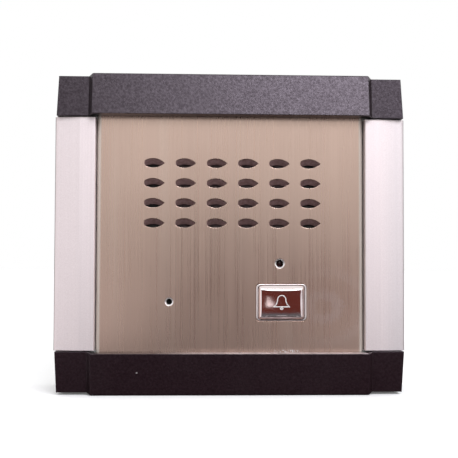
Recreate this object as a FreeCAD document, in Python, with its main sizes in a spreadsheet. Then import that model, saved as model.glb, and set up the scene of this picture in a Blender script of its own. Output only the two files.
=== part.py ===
import FreeCAD, Part
import Sketcher
import math
import os

# Door intercom station: a stainless faceplate between two aluminium side
# rails, black end caps, and a hinged front on a back box.
# Frame: +X right as seen from the front, the front faces -Y, +Z up.
# Depths are counted forward from the wall plane: y = depth_total/2 - depth.

V = FreeCAD.Vector
doc = FreeCAD.newDocument("intercom_station")
sheet = doc.addObject("Spreadsheet::Sheet", "Params")


class Dim:
    """A dimension: its number and its expression."""

    def __init__(self, value, text):
        self.value = float(value)
        self.text = text

    def _two(self, other, sign, flip=False):
        ov = other.value if isinstance(other, Dim) else float(other)
        ot = other.text if isinstance(other, Dim) else repr(float(other))
        a, b, ta, tb = self.value, ov, self.text, ot
        if flip:
            a, b, ta, tb = b, a, tb, ta
        result = {"+": a + b, "-": a - b, "*": a * b}[sign] if sign != "/" else a / b
        return Dim(result, "(%s %s %s)" % (ta, sign, tb))

    def __add__(self, o):
        return self._two(o, "+")

    def __radd__(self, o):
        return self._two(o, "+", True)

    def __sub__(self, o):
        return self._two(o, "-")

    def __rsub__(self, o):
        return self._two(o, "-", True)

    def __mul__(self, o):
        return self._two(o, "*")

    def __rmul__(self, o):
        return self._two(o, "*", True)

    def __truediv__(self, o):
        return self._two(o, "/")

    def __neg__(self):
        return Dim(-self.value, "(0 - %s)" % self.text)


def num(v):
    return v.value if isinstance(v, Dim) else float(v)


class Sizes:
    pass


D = Sizes()
TABLE = [
    # overall
    ("depth_total", 40.0), ("width_half", 69.7), ("height_total", 126.8),
    # side rails
    ("rail_inner", 53.6), ("rail_back", 18.5), ("rail_front", 36.2),
    ("rail_ridge", 59.8), ("rail_shoulder", 34.9), ("rail_wall", 1.6),
    ("rail_foot", 17.3), ("rail_corner", 1.4), ("port_x", 61.8),
    ("port_depth", 27.0), ("port_outer", 2.6), ("port_hole", 1.5),
    # hinge
    ("hinge_inset", 2.6), ("hinge_bore", 1.6), ("hinge_rod_rad", 1.5),
    ("lug_rad", 2.4), ("lug_high", 8.0), ("lug_first", 24.0), ("lug_mid", 59.4),
    ("lug_last", 94.8), ("lug_slack", 0.4), ("notch_reach", 2.9),
    # end caps
    ("cap_back", 19.0), ("cap_front", 40.0), ("cap_far_front", 37.7),
    ("cap_ledge", 16.4), ("cap_corner_edge", 17.0), ("cap_corner_foot", 0.9),
    ("cap_corner_front", 37.2), ("cap_step_drop", 2.85),
    ("cap_corner_in", 68.85), ("cap_corner_out", 68.35),
    ("cap_step_low", 56.4), ("cap_step_high", 54.2), ("cap_step_front", 54.8),
    ("cap_wall", 2.4),
    ("cap_side_in", 66.1), ("cap_floor", 33.5), ("cap_deep", 35.6),
    ("cap_lip", 2.0), ("cap_round", 0.7),
    ("peg_x", 61.5), ("peg_z", 8.3), ("peg_rad", 2.0), ("peg_tip", 20.0),
    # bridges between the rails
    ("sheet_steel", 1.6), ("bridge_back", 21.5), ("bridge_front", 31.8),
    ("bridge_half", 65.6), ("bridge_low", 2.9), ("peg_hole", 2.3),
    # faceplate
    ("plate_half", 53.3), ("plate_back", 32.0), ("plate_front", 33.2),
    ("plate_thick", 1.2), ("plate_side_deep", 27.2), ("plate_tab_deep", 24.0),
    ("plate_tab_half", 49.0), ("plate_bend", 1.1), ("plate_side_low", 17.8),
    # louvres
    ("louvre_x", 0.6), ("louvre_z", 80.0), ("louvre_pitch_x", 12.5),
    ("louvre_pitch_z", 8.0), ("louvre_left", 3.85), ("louvre_tip", 4.35),
    ("louvre_end", 1.0), ("louvre_sweep", 8.28), ("louvre_drop", 0.25),
    ("louvre_tilt", 50.0), ("louvre_deep", 2.7), ("louvre_skin", 0.7),
    ("louvre_hood_tip", 5.499), ("louvre_cols", 6), ("louvre_rows", 4),
    # holes in the plate
    ("led_x", 19.8), ("led_z", 51.7), ("led_hole", 1.45), ("hole_sink", 0.55),
    ("mic_x", -24.3), ("mic_z", 36.4), ("mic_hole", 1.15),
    # call button
    ("key_x", 20.4), ("key_z", 36.2), ("key_wide", 18.2), ("key_high", 13.4),
    ("key_front", 35.2), ("key_bevel", 0.9), ("key_gap", 0.3),
    ("key_flange_front", 29.2), ("key_flange_back", 28.2),
    ("stem_rad", 2.0), ("stem_tip", 26.8), ("bezel_wide", 20.2),
    ("bezel_high", 14.6), ("bezel_front", 33.6), ("bezel_leg", 0.4),
    ("bezel_round", 1.6), ("bezel_soft", 0.22), ("key_round", 1.1),
    ("guide_wide", 25.0), ("guide_high", 19.4), ("guide_lip", 29.5),
    ("guide_step", 30.3), ("guide_front", 31.9), ("guide_back", 24.4),
    ("retainer_back", 23.2), ("retainer_hole", 4.5),
    ("spring_rad", 5.0), ("spring_wire", 0.25), ("spring_pitch", 1.0),
    # switch
    ("switch_side", 6.0), ("switch_front", 25.0), ("plunger_rad", 1.75),
    ("plunger_tip", 26.4), ("plunger_back", 23.8), ("plunger_well", 22.5),
    # circuit board
    ("board_half", 44.5), ("board_low", 19.0), ("board_top", 54.2),
    ("board_back", 20.0), ("board_front", 21.6), ("stud_x", 41.0),
    ("stud_low", 22.5), ("stud_high", 49.5), ("stud_rad", 1.5),
    ("stud_end", 16.5), ("spacer_rad", 3.0), ("nut_rad", 3.1), ("nut_high", 2.4),
    # speaker box and speaker
    ("baffle_half", 41.0), ("baffle_high", 25.5), ("baffle_back", 27.0),
    ("baffle_floor", 28.5), ("baffle_mouth", 22.0), ("baffle_stud_x", 34.0),
    ("baffle_stud_z", 22.0),
    ("clip_long", 7.0), ("clip_wide", 6.0),
    # back box
    ("box_half", 68.0), ("box_top", 126.0), ("box_front", 18.0),
    ("box_wall", 3.0), ("box_floor", 2.5), ("box_round", 3.0),
    ("seal_in", 1.0), ("seal_wide", 1.2), ("seal_bottom", 16.4),
    ("seal_top", 18.3), ("wall_hole", 2.25), ("wall_hole_x", 50.0),
    ("wall_hole_z", 40.0), ("inlet_x", 0.0), ("inlet_z", 45.0),
    ("inlet_rad", 7.0), ("grommet_bore", 4.0), ("grommet_rim", 9.0),
    ("fix_x", 46.0), ("fix_z", 8.3), ("fix_boss", 4.5), ("fix_hole", 2.6),
    ("fix_shank", 1.9), ("fix_head", 3.5),
]
for i, (name, value) in enumerate(TABLE):
    row = str(i + 1)
    sheet.set("A" + row, name)
    sheet.set("B" + row, repr(value))
    sheet.setAlias("B" + row, name)
    setattr(D, name, Dim(value, "Params." + name))
doc.recompute()

WALL = D.depth_total / 2          # y of the wall plane
MID = D.height_total / 2          # z of the mirror plane between the caps

nodes = {}


def keep(label, obj):
    obj.Label = label
    nodes[label] = obj
    return obj


def place(obj, x, y, z, rotation=None):
    p = FreeCAD.Placement(V(num(x), num(y), num(z)), rotation or FreeCAD.Rotation())
    obj.Placement = p
    for axis, v in (("x", x), ("y", y), ("z", z)):
        if isinstance(v, Dim):
            obj.setExpression("Placement.Base." + axis, v.text)


def size(obj, prop, v):
    setattr(obj, prop, num(v))
    if isinstance(v, Dim):
        obj.setExpression(prop, v.text)


def plane(body, role):
    for f in body.Origin.OriginFeatures:
        if f.Role == role:
            return f


def rect(a0, a1, b0, b1):
    return [(a0, b0), (a1, b0), (a1, b1), (a0, b1)]


class Piece:
    """One piece of the station, built up in its own frame."""

    def __init__(self, label, x=0.0, y=WALL, z=0.0):
        self.body = doc.addObject("PartDesign::Body", label + "_body")
        place(self.body, x, y, z)
        self.last = None
        keep(label, self.body)

    def sketch(self, role, offset, loops, ox=0.0, oy=0.0):
        sk = self.body.newObject("Sketcher::SketchObject", "Outline")
        sk.AttachmentSupport = [(plane(self.body, role), "")]
        sk.MapMode = "FlatFace"
        sk.AttachmentOffset = FreeCAD.Placement(
            V(num(ox), num(oy), num(offset)), FreeCAD.Rotation())
        for axis, v in (("x", ox), ("y", oy), ("z", offset)):
            if isinstance(v, Dim):
                sk.setExpression("AttachmentOffset.Base." + axis, v.text)
        for loop in loops:
            if isinstance(loop, tuple) and loop[0] == "o":
                self._circle(sk, *loop[1:])
            elif isinstance(loop, tuple) and loop[0] == "drop":
                self._drop(sk, *loop[1:])
            else:
                self._poly(sk, loop)
        return sk

    def _fix(self, sk, kind, args, v):
        k = sk.addConstraint(Sketcher.Constraint(kind, *args, num(v)))
        if isinstance(v, Dim):
            sk.setExpression("Constraints[%d]" % k, v.text)

    def _poly(self, sk, pts):
        first = sk.GeometryCount
        n = len(pts)
        for i in range(n):
            a, b = pts[i], pts[(i + 1) % n]
            sk.addGeometry(Part.LineSegment(
                V(num(a[0]), num(a[1]), 0), V(num(b[0]), num(b[1]), 0)))
        for i in range(n):
            sk.addConstraint(Sketcher.Constraint(
                "Coincident", first + i, 2, first + (i + 1) % n, 1))
        for i, p in enumerate(pts):
            self._fix(sk, "DistanceX", (-1, 1, first + i, 1), p[0])
            self._fix(sk, "DistanceY", (-1, 1, first + i, 1), p[1])

    def _circle(self, sk, cx, cy, r):
        g = sk.addGeometry(Part.Circle(V(num(cx), num(cy), 0), V(0, 0, 1), num(r)))
        self._fix(sk, "Radius", (g,), r)
        self._fix(sk, "DistanceX", (-1, 1, g, 3), cx)
        self._fix(sk, "DistanceY", (-1, 1, g, 3), cy)

    def _drop(self, sk, left, tip, end, sweep, whole=True):
        """A drop along the X axis, round at the left and pointed at the right, or its upper half."""
        l, t, e, s = num(left), num(tip), num(end), num(sweep)
        ex = e - l
        cx = (t + ex - (s * s - (s - e) ** 2) / (t - ex)) / 2
        cy = -math.sqrt(s * s - (t - cx) ** 2)
        ux, uy = (ex - cx) / (s - e), -cy / (s - e)
        a0, a1 = math.atan2(-cy, t - cx), math.atan2(uy, ux)
        top = V(cx + s * math.cos((a0 + a1) / 2), cy + s * math.sin((a0 + a1) / 2), 0)
        point, touch, back = V(t, 0, 0), V(ex + e * ux, e * uy, 0), V(-l, 0, 0)
        flip = lambda v: V(v.x, -v.y, 0)
        upper = sk.addGeometry(Part.Arc(point, top, touch))
        if whole:
            round_end = sk.addGeometry(Part.Arc(touch, back, flip(touch)))
            last = sk.addGeometry(Part.Arc(flip(touch), flip(top), point))
            sk.addConstraint(Sketcher.Constraint("Tangent", round_end, 2, last, 1))
            self._fix(sk, "Radius", (last,), sweep)
        else:
            half_way = (math.pi + a1) / 2
            mid = V(ex + e * math.cos(half_way), e * math.sin(half_way), 0)
            round_end = sk.addGeometry(Part.Arc(touch, mid, back))
            last = sk.addGeometry(Part.LineSegment(back, point))
            sk.addConstraint(Sketcher.Constraint("Coincident", round_end, 2, last, 1))
            self._fix(sk, "DistanceY", (-1, 1, last, 1), 0.0)
        sk.addConstraint(Sketcher.Constraint("Tangent", upper, 2, round_end, 1))
        sk.addConstraint(Sketcher.Constraint("Coincident", last, 2, upper, 1))
        self._fix(sk, "DistanceX", (-1, 1, upper, 1), tip)
        self._fix(sk, "DistanceY", (-1, 1, upper, 1), 0.0)
        self._fix(sk, "Radius", (upper,), sweep)
        self._fix(sk, "Radius", (round_end,), end)
        self._fix(sk, "DistanceX", (-1, 1, round_end, 3), end - left)
        self._fix(sk, "DistanceY", (-1, 1, round_end, 3), 0.0)

    def _feature(self, kind, sk):
        f = self.body.newObject("PartDesign::" + kind, kind)
        f.Profile = sk
        sk.Visibility = False
        self.last = f
        return f

    def pad(self, role, a, b, loops, ox=0.0, oy=0.0):
        f = self._feature("Pad", self.sketch(role, a, loops, ox, oy))
        size(f, "Length", b - a)
        return f

    def cut(self, role, a, b, loops, ox=0.0, oy=0.0):
        f = self._feature("Pocket", self.sketch(role, b, loops, ox, oy))
        size(f, "Length", b - a)
        return f

    def slant(self, kind, at, angle, length, loops):
        """A pad or pocket both ways from a plane tipped about X at a point."""
        sk = self.sketch("XY_Plane", at[2], loops, at[0], at[1])
        sk.AttachmentOffset = FreeCAD.Placement(
            V(*[num(a) for a in at]), FreeCAD.Rotation(V(1, 0, 0), angle))
        f = self._feature(kind, sk)
        f.Midplane = True
        f.Length = length
        return f

    def turn(self, loops, axis="V_Axis", role="XY_Plane", angle=360.0):
        f = self._feature("Revolution", self.sketch(role, 0.0, loops))
        f.ReferenceAxis = (f.Profile[0], [axis])
        f.Angle = angle
        return f

    def spread(self, originals, nx, px, nz, pz):
        f = self.body.newObject("PartDesign::LinearPattern", "Rows")
        f.Originals = originals
        f.Direction = (plane(self.body, "X_Axis"), [""])
        size(f, "Length", px * (nx - 1))
        f.Occurrences = int(num(nx))
        f.Direction2 = (plane(self.body, "Z_Axis"), [""])
        size(f, "Length2", pz * (nz - 1))
        f.Occurrences2 = int(num(nz))
        self.body.Tip = f
        self.last = f
        return f

    def ring(self, originals, count, role="Y_Axis"):
        f = self.body.newObject("PartDesign::PolarPattern", "Ring")
        f.Originals = originals
        f.Axis = (plane(self.body, role), [""])
        f.Angle = 360.0
        f.Occurrences = count
        self.body.Tip = f
        self.last = f
        return f

    def dress(self, kind, v, test):
        doc.recompute()
        shape = self.last.Shape
        names = ["Edge%d" % (i + 1) for i, e in enumerate(shape.Edges)
                 if test(e.BoundBox, e)]
        if not names:
            raise RuntimeError("no edges to dress on " + self.body.Label)
        f = self.body.newObject("PartDesign::" + kind, kind)
        f.Base = (self.last, names)
        size(f, "Radius" if kind == "Fillet" else "Size", v)
        self.body.Tip = f
        self.last = f
        return f


# plain blocks, bars and hexagons, placed by x, depth from the wall and z -----
def wbox(x0, x1, w0, w1, z0, z1):
    b = doc.addObject("Part::Box", "Block")
    size(b, "Length", x1 - x0)
    size(b, "Width", w1 - w0)
    size(b, "Height", z1 - z0)
    place(b, x0, WALL - w1, z0)
    return b


def wcyl(x, z, w0, w1, r):
    """A round bar along the depth, from w0 forward to w1."""
    c = doc.addObject("Part::Cylinder", "Bar")
    size(c, "Radius", r)
    size(c, "Height", w1 - w0)
    place(c, x, WALL - w0, z, FreeCAD.Rotation(V(1, 0, 0), 90))
    return c


def zcyl(x, w, z0, z1, r):
    c = doc.addObject("Part::Cylinder", "Post")
    size(c, "Radius", r)
    size(c, "Height", z1 - z0)
    place(c, x, WALL - w, z0)
    return c


def whex(x, z, w0, w1, r):
    h = doc.addObject("Part::Prism", "Hex")
    h.Polygon = 6
    size(h, "Circumradius", r)
    size(h, "Height", w1 - w0)
    place(h, x, WALL - w0, z, FreeCAD.Rotation(V(1, 0, 0), 90))
    return h


def fuse(parts):
    if len(parts) == 1:
        return parts[0]
    f = doc.addObject("Part::MultiFuse", "Joined")
    f.Shapes = parts
    return f


def carve(base, tools):
    f = doc.addObject("Part::Cut", "Carved")
    f.Base = base
    f.Tool = fuse(tools)
    return f


def up(flip, z):
    """z for the lower piece, or its mirror image for the upper one."""
    return D.height_total - z if flip else z


def zrange(flip, a, b):
    return (D.height_total - b, D.height_total - a) if flip else (a, b)


def near(a, b, tol=0.05):
    return abs(a - num(b)) < tol


# ---------------------------------------------------------------- side rails
def rail(label, side):
    """An extruded rail; side is +1 on the right and -1 on the left."""
    p = Piece(label)
    r = D
    outer = [(side * r.rail_inner, -r.rail_back),
             (side * r.width_half, -r.rail_back),
             (side * r.width_half, -r.rail_shoulder),
             (side * r.rail_ridge, -r.rail_front),
             (side * r.rail_inner, -r.rail_front)]
    p.pad("XY_Plane", r.rail_foot, D.height_total - r.rail_foot, [outer])
    # two hollows with a web between them
    x0 = side * (r.rail_inner + r.rail_wall)
    x1 = side * (r.width_half - r.rail_wall)
    xr = side * (r.rail_ridge - 0.2)
    front = [(x0, -(r.port_depth + 0.8)), (x1, -(r.port_depth + 0.8)),
             (x1, -(r.rail_shoulder - r.rail_wall)),
             (xr, -(r.rail_front - r.rail_wall)),
             (x0, -(r.rail_front - r.rail_wall))]
    rear = [(x0, -(r.rail_back + r.rail_wall)), (x1, -(r.rail_back + r.rail_wall)),
            (x1, -(r.port_depth - 0.8)), (x0, -(r.port_depth - 0.8))]
    p.cut("XY_Plane", r.rail_foot, D.height_total - r.rail_foot, [front, rear])
    # screw port and hinge barrel
    xh = side * (r.width_half - r.hinge_inset)
    wh = -(r.rail_back + r.hinge_inset)
    p.pad("XY_Plane", r.rail_foot, D.height_total - r.rail_foot,
          [("o", side * r.port_x, -r.port_depth, r.port_outer)])
    p.pad("XY_Plane", r.rail_foot, D.height_total - r.rail_foot,
          [("o", xh, wh, r.hinge_inset - 0.01)])
    p.cut("XY_Plane", r.rail_foot, D.height_total - r.rail_foot,
          [("o", side * r.port_x, -r.port_depth, r.port_hole),
           ("o", xh, wh, r.hinge_bore)])
    wh_half = num(r.width_half)
    p.dress("Fillet", r.hinge_inset - 0.05, lambda b, e: b.ZLength > 80
            and near(abs(b.Center.x), wh_half) and near(-b.Center.y, r.rail_back))
    p.dress("Fillet", r.rail_corner, lambda b, e: b.ZLength > 80
            and near(abs(b.Center.x), wh_half) and near(-b.Center.y, r.rail_shoulder))
    p.dress("Fillet", 0.5, lambda b, e: b.ZLength > 80
            and near(abs(b.Center.x), r.rail_inner)
            and (near(-b.Center.y, r.rail_front) or near(-b.Center.y, r.rail_back)))
    if side < 0:
        # the hinge side is notched for the three lugs of the box
        n = r.notch_reach
        for low in (r.lug_first, r.lug_mid, r.lug_last):
            p.cut("XY_Plane", low - r.lug_slack, low + r.lug_high + r.lug_slack,
                  [rect(-(r.width_half + 1), xh + n, wh - n, -(r.rail_back - 1))])
    return p


rail("rail_left", -1.0)
rail("rail_right", 1.0)


# ------------------------------------------------------------------ end caps
def cap(label, flip):
    """A shell cap with a raised middle; the lower one, or its mirror."""
    c = D
    # the front leans back towards the cap's far end
    lean = (c.cap_front - c.cap_far_front) / c.cap_ledge
    tilt = math.atan(num(lean))
    p = Piece(label)
    u = lambda z: up(flip, z)
    zero = u(Dim(0.0, "0"))
    lo, hi = c.cap_step_low, c.cap_step_high
    outline = [(-c.cap_corner_in, u(c.cap_corner_edge)), (-c.cap_corner_out, u(c.cap_corner_foot)),
               (-lo, u(c.cap_corner_foot)), (-hi, zero), (hi, zero), (lo, u(c.cap_corner_foot)),
               (c.cap_corner_out, u(c.cap_corner_foot)), (c.cap_corner_in, u(c.cap_corner_edge)),
               (lo, u(c.cap_corner_edge)), (hi, u(c.cap_ledge)),
               (-hi, u(c.cap_ledge)), (-lo, u(c.cap_corner_edge))]
    p.pad("XZ_Plane", c.cap_back, c.cap_front + 0.2, [outline])
    # one cut along the lean leaves the raised middle between lower corner blocks
    drop = c.cap_step_drop
    far = 75.0
    face = c.cap_step_front
    front = [(-far, -6.0), (far, -6.0), (far, drop), (lo, drop), (face, 0.0),
             (-face, 0.0), (-lo, drop), (-far, drop)]
    f = p.cut("XY_Plane", -30.0, 30.0, [front])
    sk = f.Profile[0]
    sk.AttachmentOffset = FreeCAD.Placement(
        V(0, -num(c.cap_front), num(u(c.cap_ledge))),
        FreeCAD.Rotation(V(-1 if flip else 1, 0, 0), math.degrees(tilt)))
    sk.setExpression("AttachmentOffset.Base.y", (-c.cap_front).text)
    sk.setExpression("AttachmentOffset.Base.z", u(c.cap_ledge).text)
    f.Midplane = True
    f.Length = 60.0
    # the ends of the ledge run up past the lean, and are trimmed flush
    p.cut("XZ_Plane", c.cap_front, c.cap_front + 1.0,
          [[(-60.0, u(c.cap_corner_foot)), (60.0, u(c.cap_corner_foot)),
            (60.0, u(c.cap_corner_edge + 1)), (-60.0, u(c.cap_corner_edge + 1))]])
    # soft edges at the far end
    p.dress("Fillet", c.cap_round, lambda b, e: near(b.Center.z, zero, 0.05) and b.ZLength < 0.05
            and b.XLength > 100 and -b.Center.y > 36)
    # hollow from behind, deeper in the middle
    z_in = u(c.cap_wall)
    z_open = u(c.cap_corner_edge + 1)
    p.cut("XZ_Plane", c.cap_back - 1, c.cap_floor,
          [[(-c.cap_side_in, z_in), (c.cap_side_in, z_in),
            (c.cap_side_in, z_open), (-c.cap_side_in, z_open)]])
    z_lip = u(c.cap_ledge - c.cap_lip)
    mx = c.cap_step_high - 2.0
    p.cut("XZ_Plane", c.cap_floor - 0.5, c.cap_deep,
          [[(-mx, z_in), (mx, z_in), (mx, z_lip), (-mx, z_lip)]])
    # locating pegs
    p.pad("XZ_Plane", c.peg_tip, c.cap_floor + 0.4,
          [("o", c.peg_x, u(c.peg_z), c.peg_rad), ("o", -c.peg_x, u(c.peg_z), c.peg_rad)])
    return p


cap("bottom_cap", False)
cap("top_cap", True)


# --------------------------------------------- folded bridges between rails
def bridge(label, flip):
    c = D
    p = Piece(label)
    u = lambda z: up(flip, z)
    s = c.sheet_steel
    top = c.rail_foot
    angle = [(-c.bridge_front, u(top)), (-c.bridge_back, u(top)),
             (-c.bridge_back, u(c.bridge_low)), (-(c.bridge_back + s), u(c.bridge_low)),
             (-(c.bridge_back + s), u(top - s)), (-c.bridge_front, u(top - s))]
    p.pad("YZ_Plane", -c.bridge_half, c.bridge_half, [angle])
    p.cut("XZ_Plane", c.bridge_back - 1, c.bridge_back + s + 1,
          [("o", c.peg_x, u(c.peg_z), c.peg_hole), ("o", -c.peg_x, u(c.peg_z), c.peg_hole),
           ("o", c.fix_x, u(c.fix_z), c.fix_shank + 0.1)])
    za, zb = zrange(flip, top - s - 1, top + 1)
    p.cut("XY_Plane", za, zb,
          [("o", c.port_x, -c.port_depth, c.port_hole + 0.1),
           ("o", -c.port_x, -c.port_depth, c.port_hole + 0.1),
           ("o", 40.0, -28.0, 1.35), ("o", -40.0, -28.0, 1.35)])
    return p


bridge("bridge_bottom", False)
bridge("bridge_top", True)

# screws that hold the bridges to the rails, four alike
parts = []
for flip in (False, True):
    for side in (-1.0, 1.0):
        head = zrange(flip, D.rail_foot - D.sheet_steel - 2.0, D.rail_foot - D.sheet_steel)
        shank = zrange(flip, D.rail_foot - D.sheet_steel, D.rail_foot + 9.0)
        parts += [zcyl(side * D.port_x, D.port_depth, head[0], head[1], 2.8),
                  zcyl(side * D.port_x, D.port_depth, shank[0], shank[1], D.port_hole - 0.05)]
keep("rail_screws", fuse(parts))

# screws that hold the plate's tabs to the bridges, four alike
parts = []
for flip in (False, True):
    for side in (-1.0, 1.0):
        z = D.rail_foot - D.sheet_steel - D.plate_thick
        head = zrange(flip, z - 1.8, z)
        shank = zrange(flip, z, z + 5.0)
        parts += [zcyl(side * 40.0, 28.0, head[0], head[1], 2.5),
                  zcyl(side * 40.0, 28.0, shank[0], shank[1], 1.3)]
keep("plate_screws", fuse(parts))

# screws that close the front onto the box, two alike
parts = []
for flip in (False, True):
    z = up(flip, D.fix_z)
    f = D.bridge_back + D.sheet_steel
    screw = fuse([wcyl(D.fix_x, z, f, f + 2.6, D.fix_head), wcyl(D.fix_x, z, 13.0, f, D.fix_shank)])
    parts.append(carve(screw, [whex(D.fix_x, z, f + 1.0, f + 3.0, 1.7)]))
keep("fixing_screws", fuse(parts))

# hinge rod through the rail's barrel and the box's lugs
keep("hinge_rod", zcyl(-(D.width_half - D.hinge_inset), D.rail_back + D.hinge_inset,
                       D.rail_foot + 0.6, D.height_total - D.rail_foot - 0.6, D.hinge_rod_rad))

# ------------------------------------------------------------------ faceplate
p = Piece("faceplate")
z0 = D.rail_foot - D.sheet_steel - D.plate_thick
z1 = D.height_total - z0
p.pad("XZ_Plane", D.plate_back, D.plate_front, [rect(-D.plate_half, D.plate_half, z0, z1)])
t = D.plate_thick
lo, hi = D.plate_side_low, D.height_total - D.plate_side_low
p.pad("XZ_Plane", D.plate_side_deep, D.plate_front,
      [rect(-D.plate_half, -(D.plate_half - t), lo, hi), rect(D.plate_half - t, D.plate_half, lo, hi)])
p.pad("XZ_Plane", D.plate_tab_deep, D.plate_front,
      [rect(-D.plate_tab_half, D.plate_tab_half, z0, z0 + t),
       rect(-D.plate_tab_half, D.plate_tab_half, z1 - t, z1)])
p.dress("Fillet", D.plate_bend, lambda b, e: b.ZLength > 80 and near(abs(b.Center.x), D.plate_half)
        and near(-b.Center.y, D.plate_front))
# button opening and the two countersunk holes
kx, kz = D.key_x, D.key_z
p.cut("XZ_Plane", D.plate_back - 0.5, D.plate_front + 0.5,
      [rect(kx - D.bezel_wide / 2 + 0.25, kx + D.bezel_wide / 2 - 0.25,
            kz - D.bezel_high / 2 + 0.25, kz + D.bezel_high / 2 - 0.25)])
p.dress("Fillet", D.bezel_round - 0.25, lambda b, e: near(b.YLength, D.plate_thick) and b.XLength < 0.01
        and near(abs(b.Center.x - num(kx)), D.bezel_wide / 2 - 0.25)
        and near(abs(b.Center.z - num(kz)), D.bezel_high / 2 - 0.25))
p.cut("XZ_Plane", D.plate_back - 0.5, D.plate_front + 0.5,
      [("o", D.led_x, D.led_z, D.led_hole), ("o", D.mic_x, D.mic_z, D.mic_hole)])
p.dress("Chamfer", D.hole_sink, lambda b, e: b.XLength < 3.2 and near(b.XLength, b.ZLength, 0.01)
        and near(-b.Center.y, D.plate_front) and b.Center.z < 60 and b.YLength < 0.01)
# screw holes in the folded tabs
for flip in (False, True):
    za, zb = zrange(flip, z0 - 1, z0 + t + 1)
    p.cut("XY_Plane", za, zb, [("o", 40.0, -28.0, 1.5), ("o", -40.0, -28.0, 1.5)])
# louvres: the sheet is pressed inward as a sloping hood, open at its lower edge
x_first = D.louvre_x - (D.louvre_cols - 1) * D.louvre_pitch_x / 2
z_first = D.louvre_z - D.louvre_drop - (D.louvre_rows - 1) * D.louvre_pitch_z / 2
skin = D.louvre_skin
at = (x_first, -D.plate_front, z_first)
hood = p.slant("Pad", at, num(D.louvre_tilt), 15.0,
               [("drop", D.louvre_left + skin, D.louvre_hood_tip, D.louvre_end + skin,
                 D.louvre_sweep + skin, False)])
hollow = p.slant("Pocket", at, num(D.louvre_tilt), 15.0,
                 [("drop", D.louvre_left, D.louvre_tip, D.louvre_end, D.louvre_sweep)])
p.spread([hood, hollow], D.louvre_cols, D.louvre_pitch_x, D.louvre_rows, D.louvre_pitch_z)
reach_x = (D.louvre_cols - 1) * D.louvre_pitch_x / 2 + 6.5
left, right = D.louvre_x - reach_x, D.louvre_x + reach_x
under, over = z_first - 10.0, z_first + (D.louvre_rows - 1) * D.louvre_pitch_z + 14.0
p.cut("XZ_Plane", D.plate_front, D.plate_front + 8.0, [rect(left, right, under, over)])
p.cut("XZ_Plane", D.plate_front - 9.0, D.plate_front - D.louvre_deep, [rect(left, right, under, over)])

# studs welded to the back of the plate, for the speaker box and the board
bx, bz = D.baffle_stud_x, D.baffle_stud_z
baffle_at = [(D.louvre_x + sx * bx, D.louvre_z + sz * bz) for sx in (-1.0, 1.0) for sz in (-1.0, 1.0)]
board_at = [(sx * D.stud_x, z) for sx in (-1.0, 1.0) for z in (D.stud_low, D.stud_high)]
keep("plate_studs", fuse(
    [wcyl(x, z, D.baffle_back - 3.6, D.plate_back, D.stud_rad) for x, z in baffle_at]
    + [wcyl(x, z, D.stud_end, D.plate_back, D.stud_rad) for x, z in board_at]))

# ------------------------------------------------------- call button assembly
bw, bh = D.bezel_wide / 2, D.bezel_high / 2
kw, kh = D.key_wide / 2, D.key_high / 2
p = Piece("button_bezel", D.key_x, WALL, D.key_z)
p.pad("XZ_Plane", D.plate_front, D.bezel_front, [rect(-bw, bw, -bh, bh)])
p.dress("Fillet", D.bezel_round, lambda b, e: b.YLength > 0.3)
p.pad("XZ_Plane", D.guide_step + 0.2, D.bezel_front,
      [rect(-(kw + 0.3 + D.bezel_leg), kw + 0.3 + D.bezel_leg, -5.0, 5.0)])
p.cut("XZ_Plane", D.guide_step - 0.5, D.bezel_front + 1,
      [rect(-(kw + D.key_gap), kw + D.key_gap, -(kh + D.key_gap), kh + D.key_gap)])
p.dress("Fillet", D.key_round + D.key_gap, lambda b, e: near(b.YLength, D.bezel_front - D.plate_front)
        and near(abs(b.Center.x), kw + D.key_gap) and near(abs(b.Center.z), kh + D.key_gap))
p.dress("Fillet", D.bezel_soft, lambda b, e: near(-b.Center.y, D.bezel_front) and b.YLength < 0.01
        and (abs(b.Center.x) > kw.value + 0.55 or abs(b.Center.z) > kh.value + 0.45
             or (b.XLength < 2.0 and b.ZLength < 2.0 and abs(b.Center.x) > 9.2 and abs(b.Center.z) > 6.4)))

p = Piece("call_button", D.key_x, WALL, D.key_z)
p.pad("XZ_Plane", D.key_flange_front - 0.2, D.key_front, [rect(-kw, kw, -kh, kh)])
p.dress("Fillet", D.key_round, lambda b, e: b.YLength > 5)
p.dress("Chamfer", D.key_bevel, lambda b, e: near(-b.Center.y, D.key_front) and b.YLength < 0.01)
p.pad("XZ_Plane", D.key_flange_back, D.key_flange_front,
      [rect(-(kw + 1.2), kw + 1.2, -(kh + 1.1), kh + 1.1)])
p.pad("XZ_Plane", D.stem_tip, D.key_flange_back, [("o", 0.0, 0.0, D.stem_rad)])

gw, gh = D.guide_wide / 2, D.guide_high / 2
p = Piece("button_guide", D.key_x, WALL, D.key_z)
p.pad("XZ_Plane", D.guide_back, D.guide_front, [rect(-gw, gw, -gh, gh)])
p.cut("XZ_Plane", D.guide_back - 1, D.guide_lip,
      [rect(-(kw + 1.5), kw + 1.5, -(kh + 1.4), kh + 1.4)])
p.cut("XZ_Plane", D.guide_lip - 0.5, D.guide_front + 1,
      [rect(-(kw + 0.35), kw + 0.35, -(kh + 0.35), kh + 0.35)])
p.cut("XZ_Plane", D.guide_step, D.guide_front + 1,
      [rect(-(kw + 0.8), kw + 0.8, -(kh + 0.35), kh + 0.35)])

p = Piece("button_retainer", D.key_x, WALL, D.key_z)
p.pad("XZ_Plane", D.retainer_back, D.guide_back, [rect(-gw, gw, -gh, gh)])
p.cut("XZ_Plane", D.retainer_back - 1, D.guide_back + 1, [("o", 0.0, 0.0, D.retainer_hole)])

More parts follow.
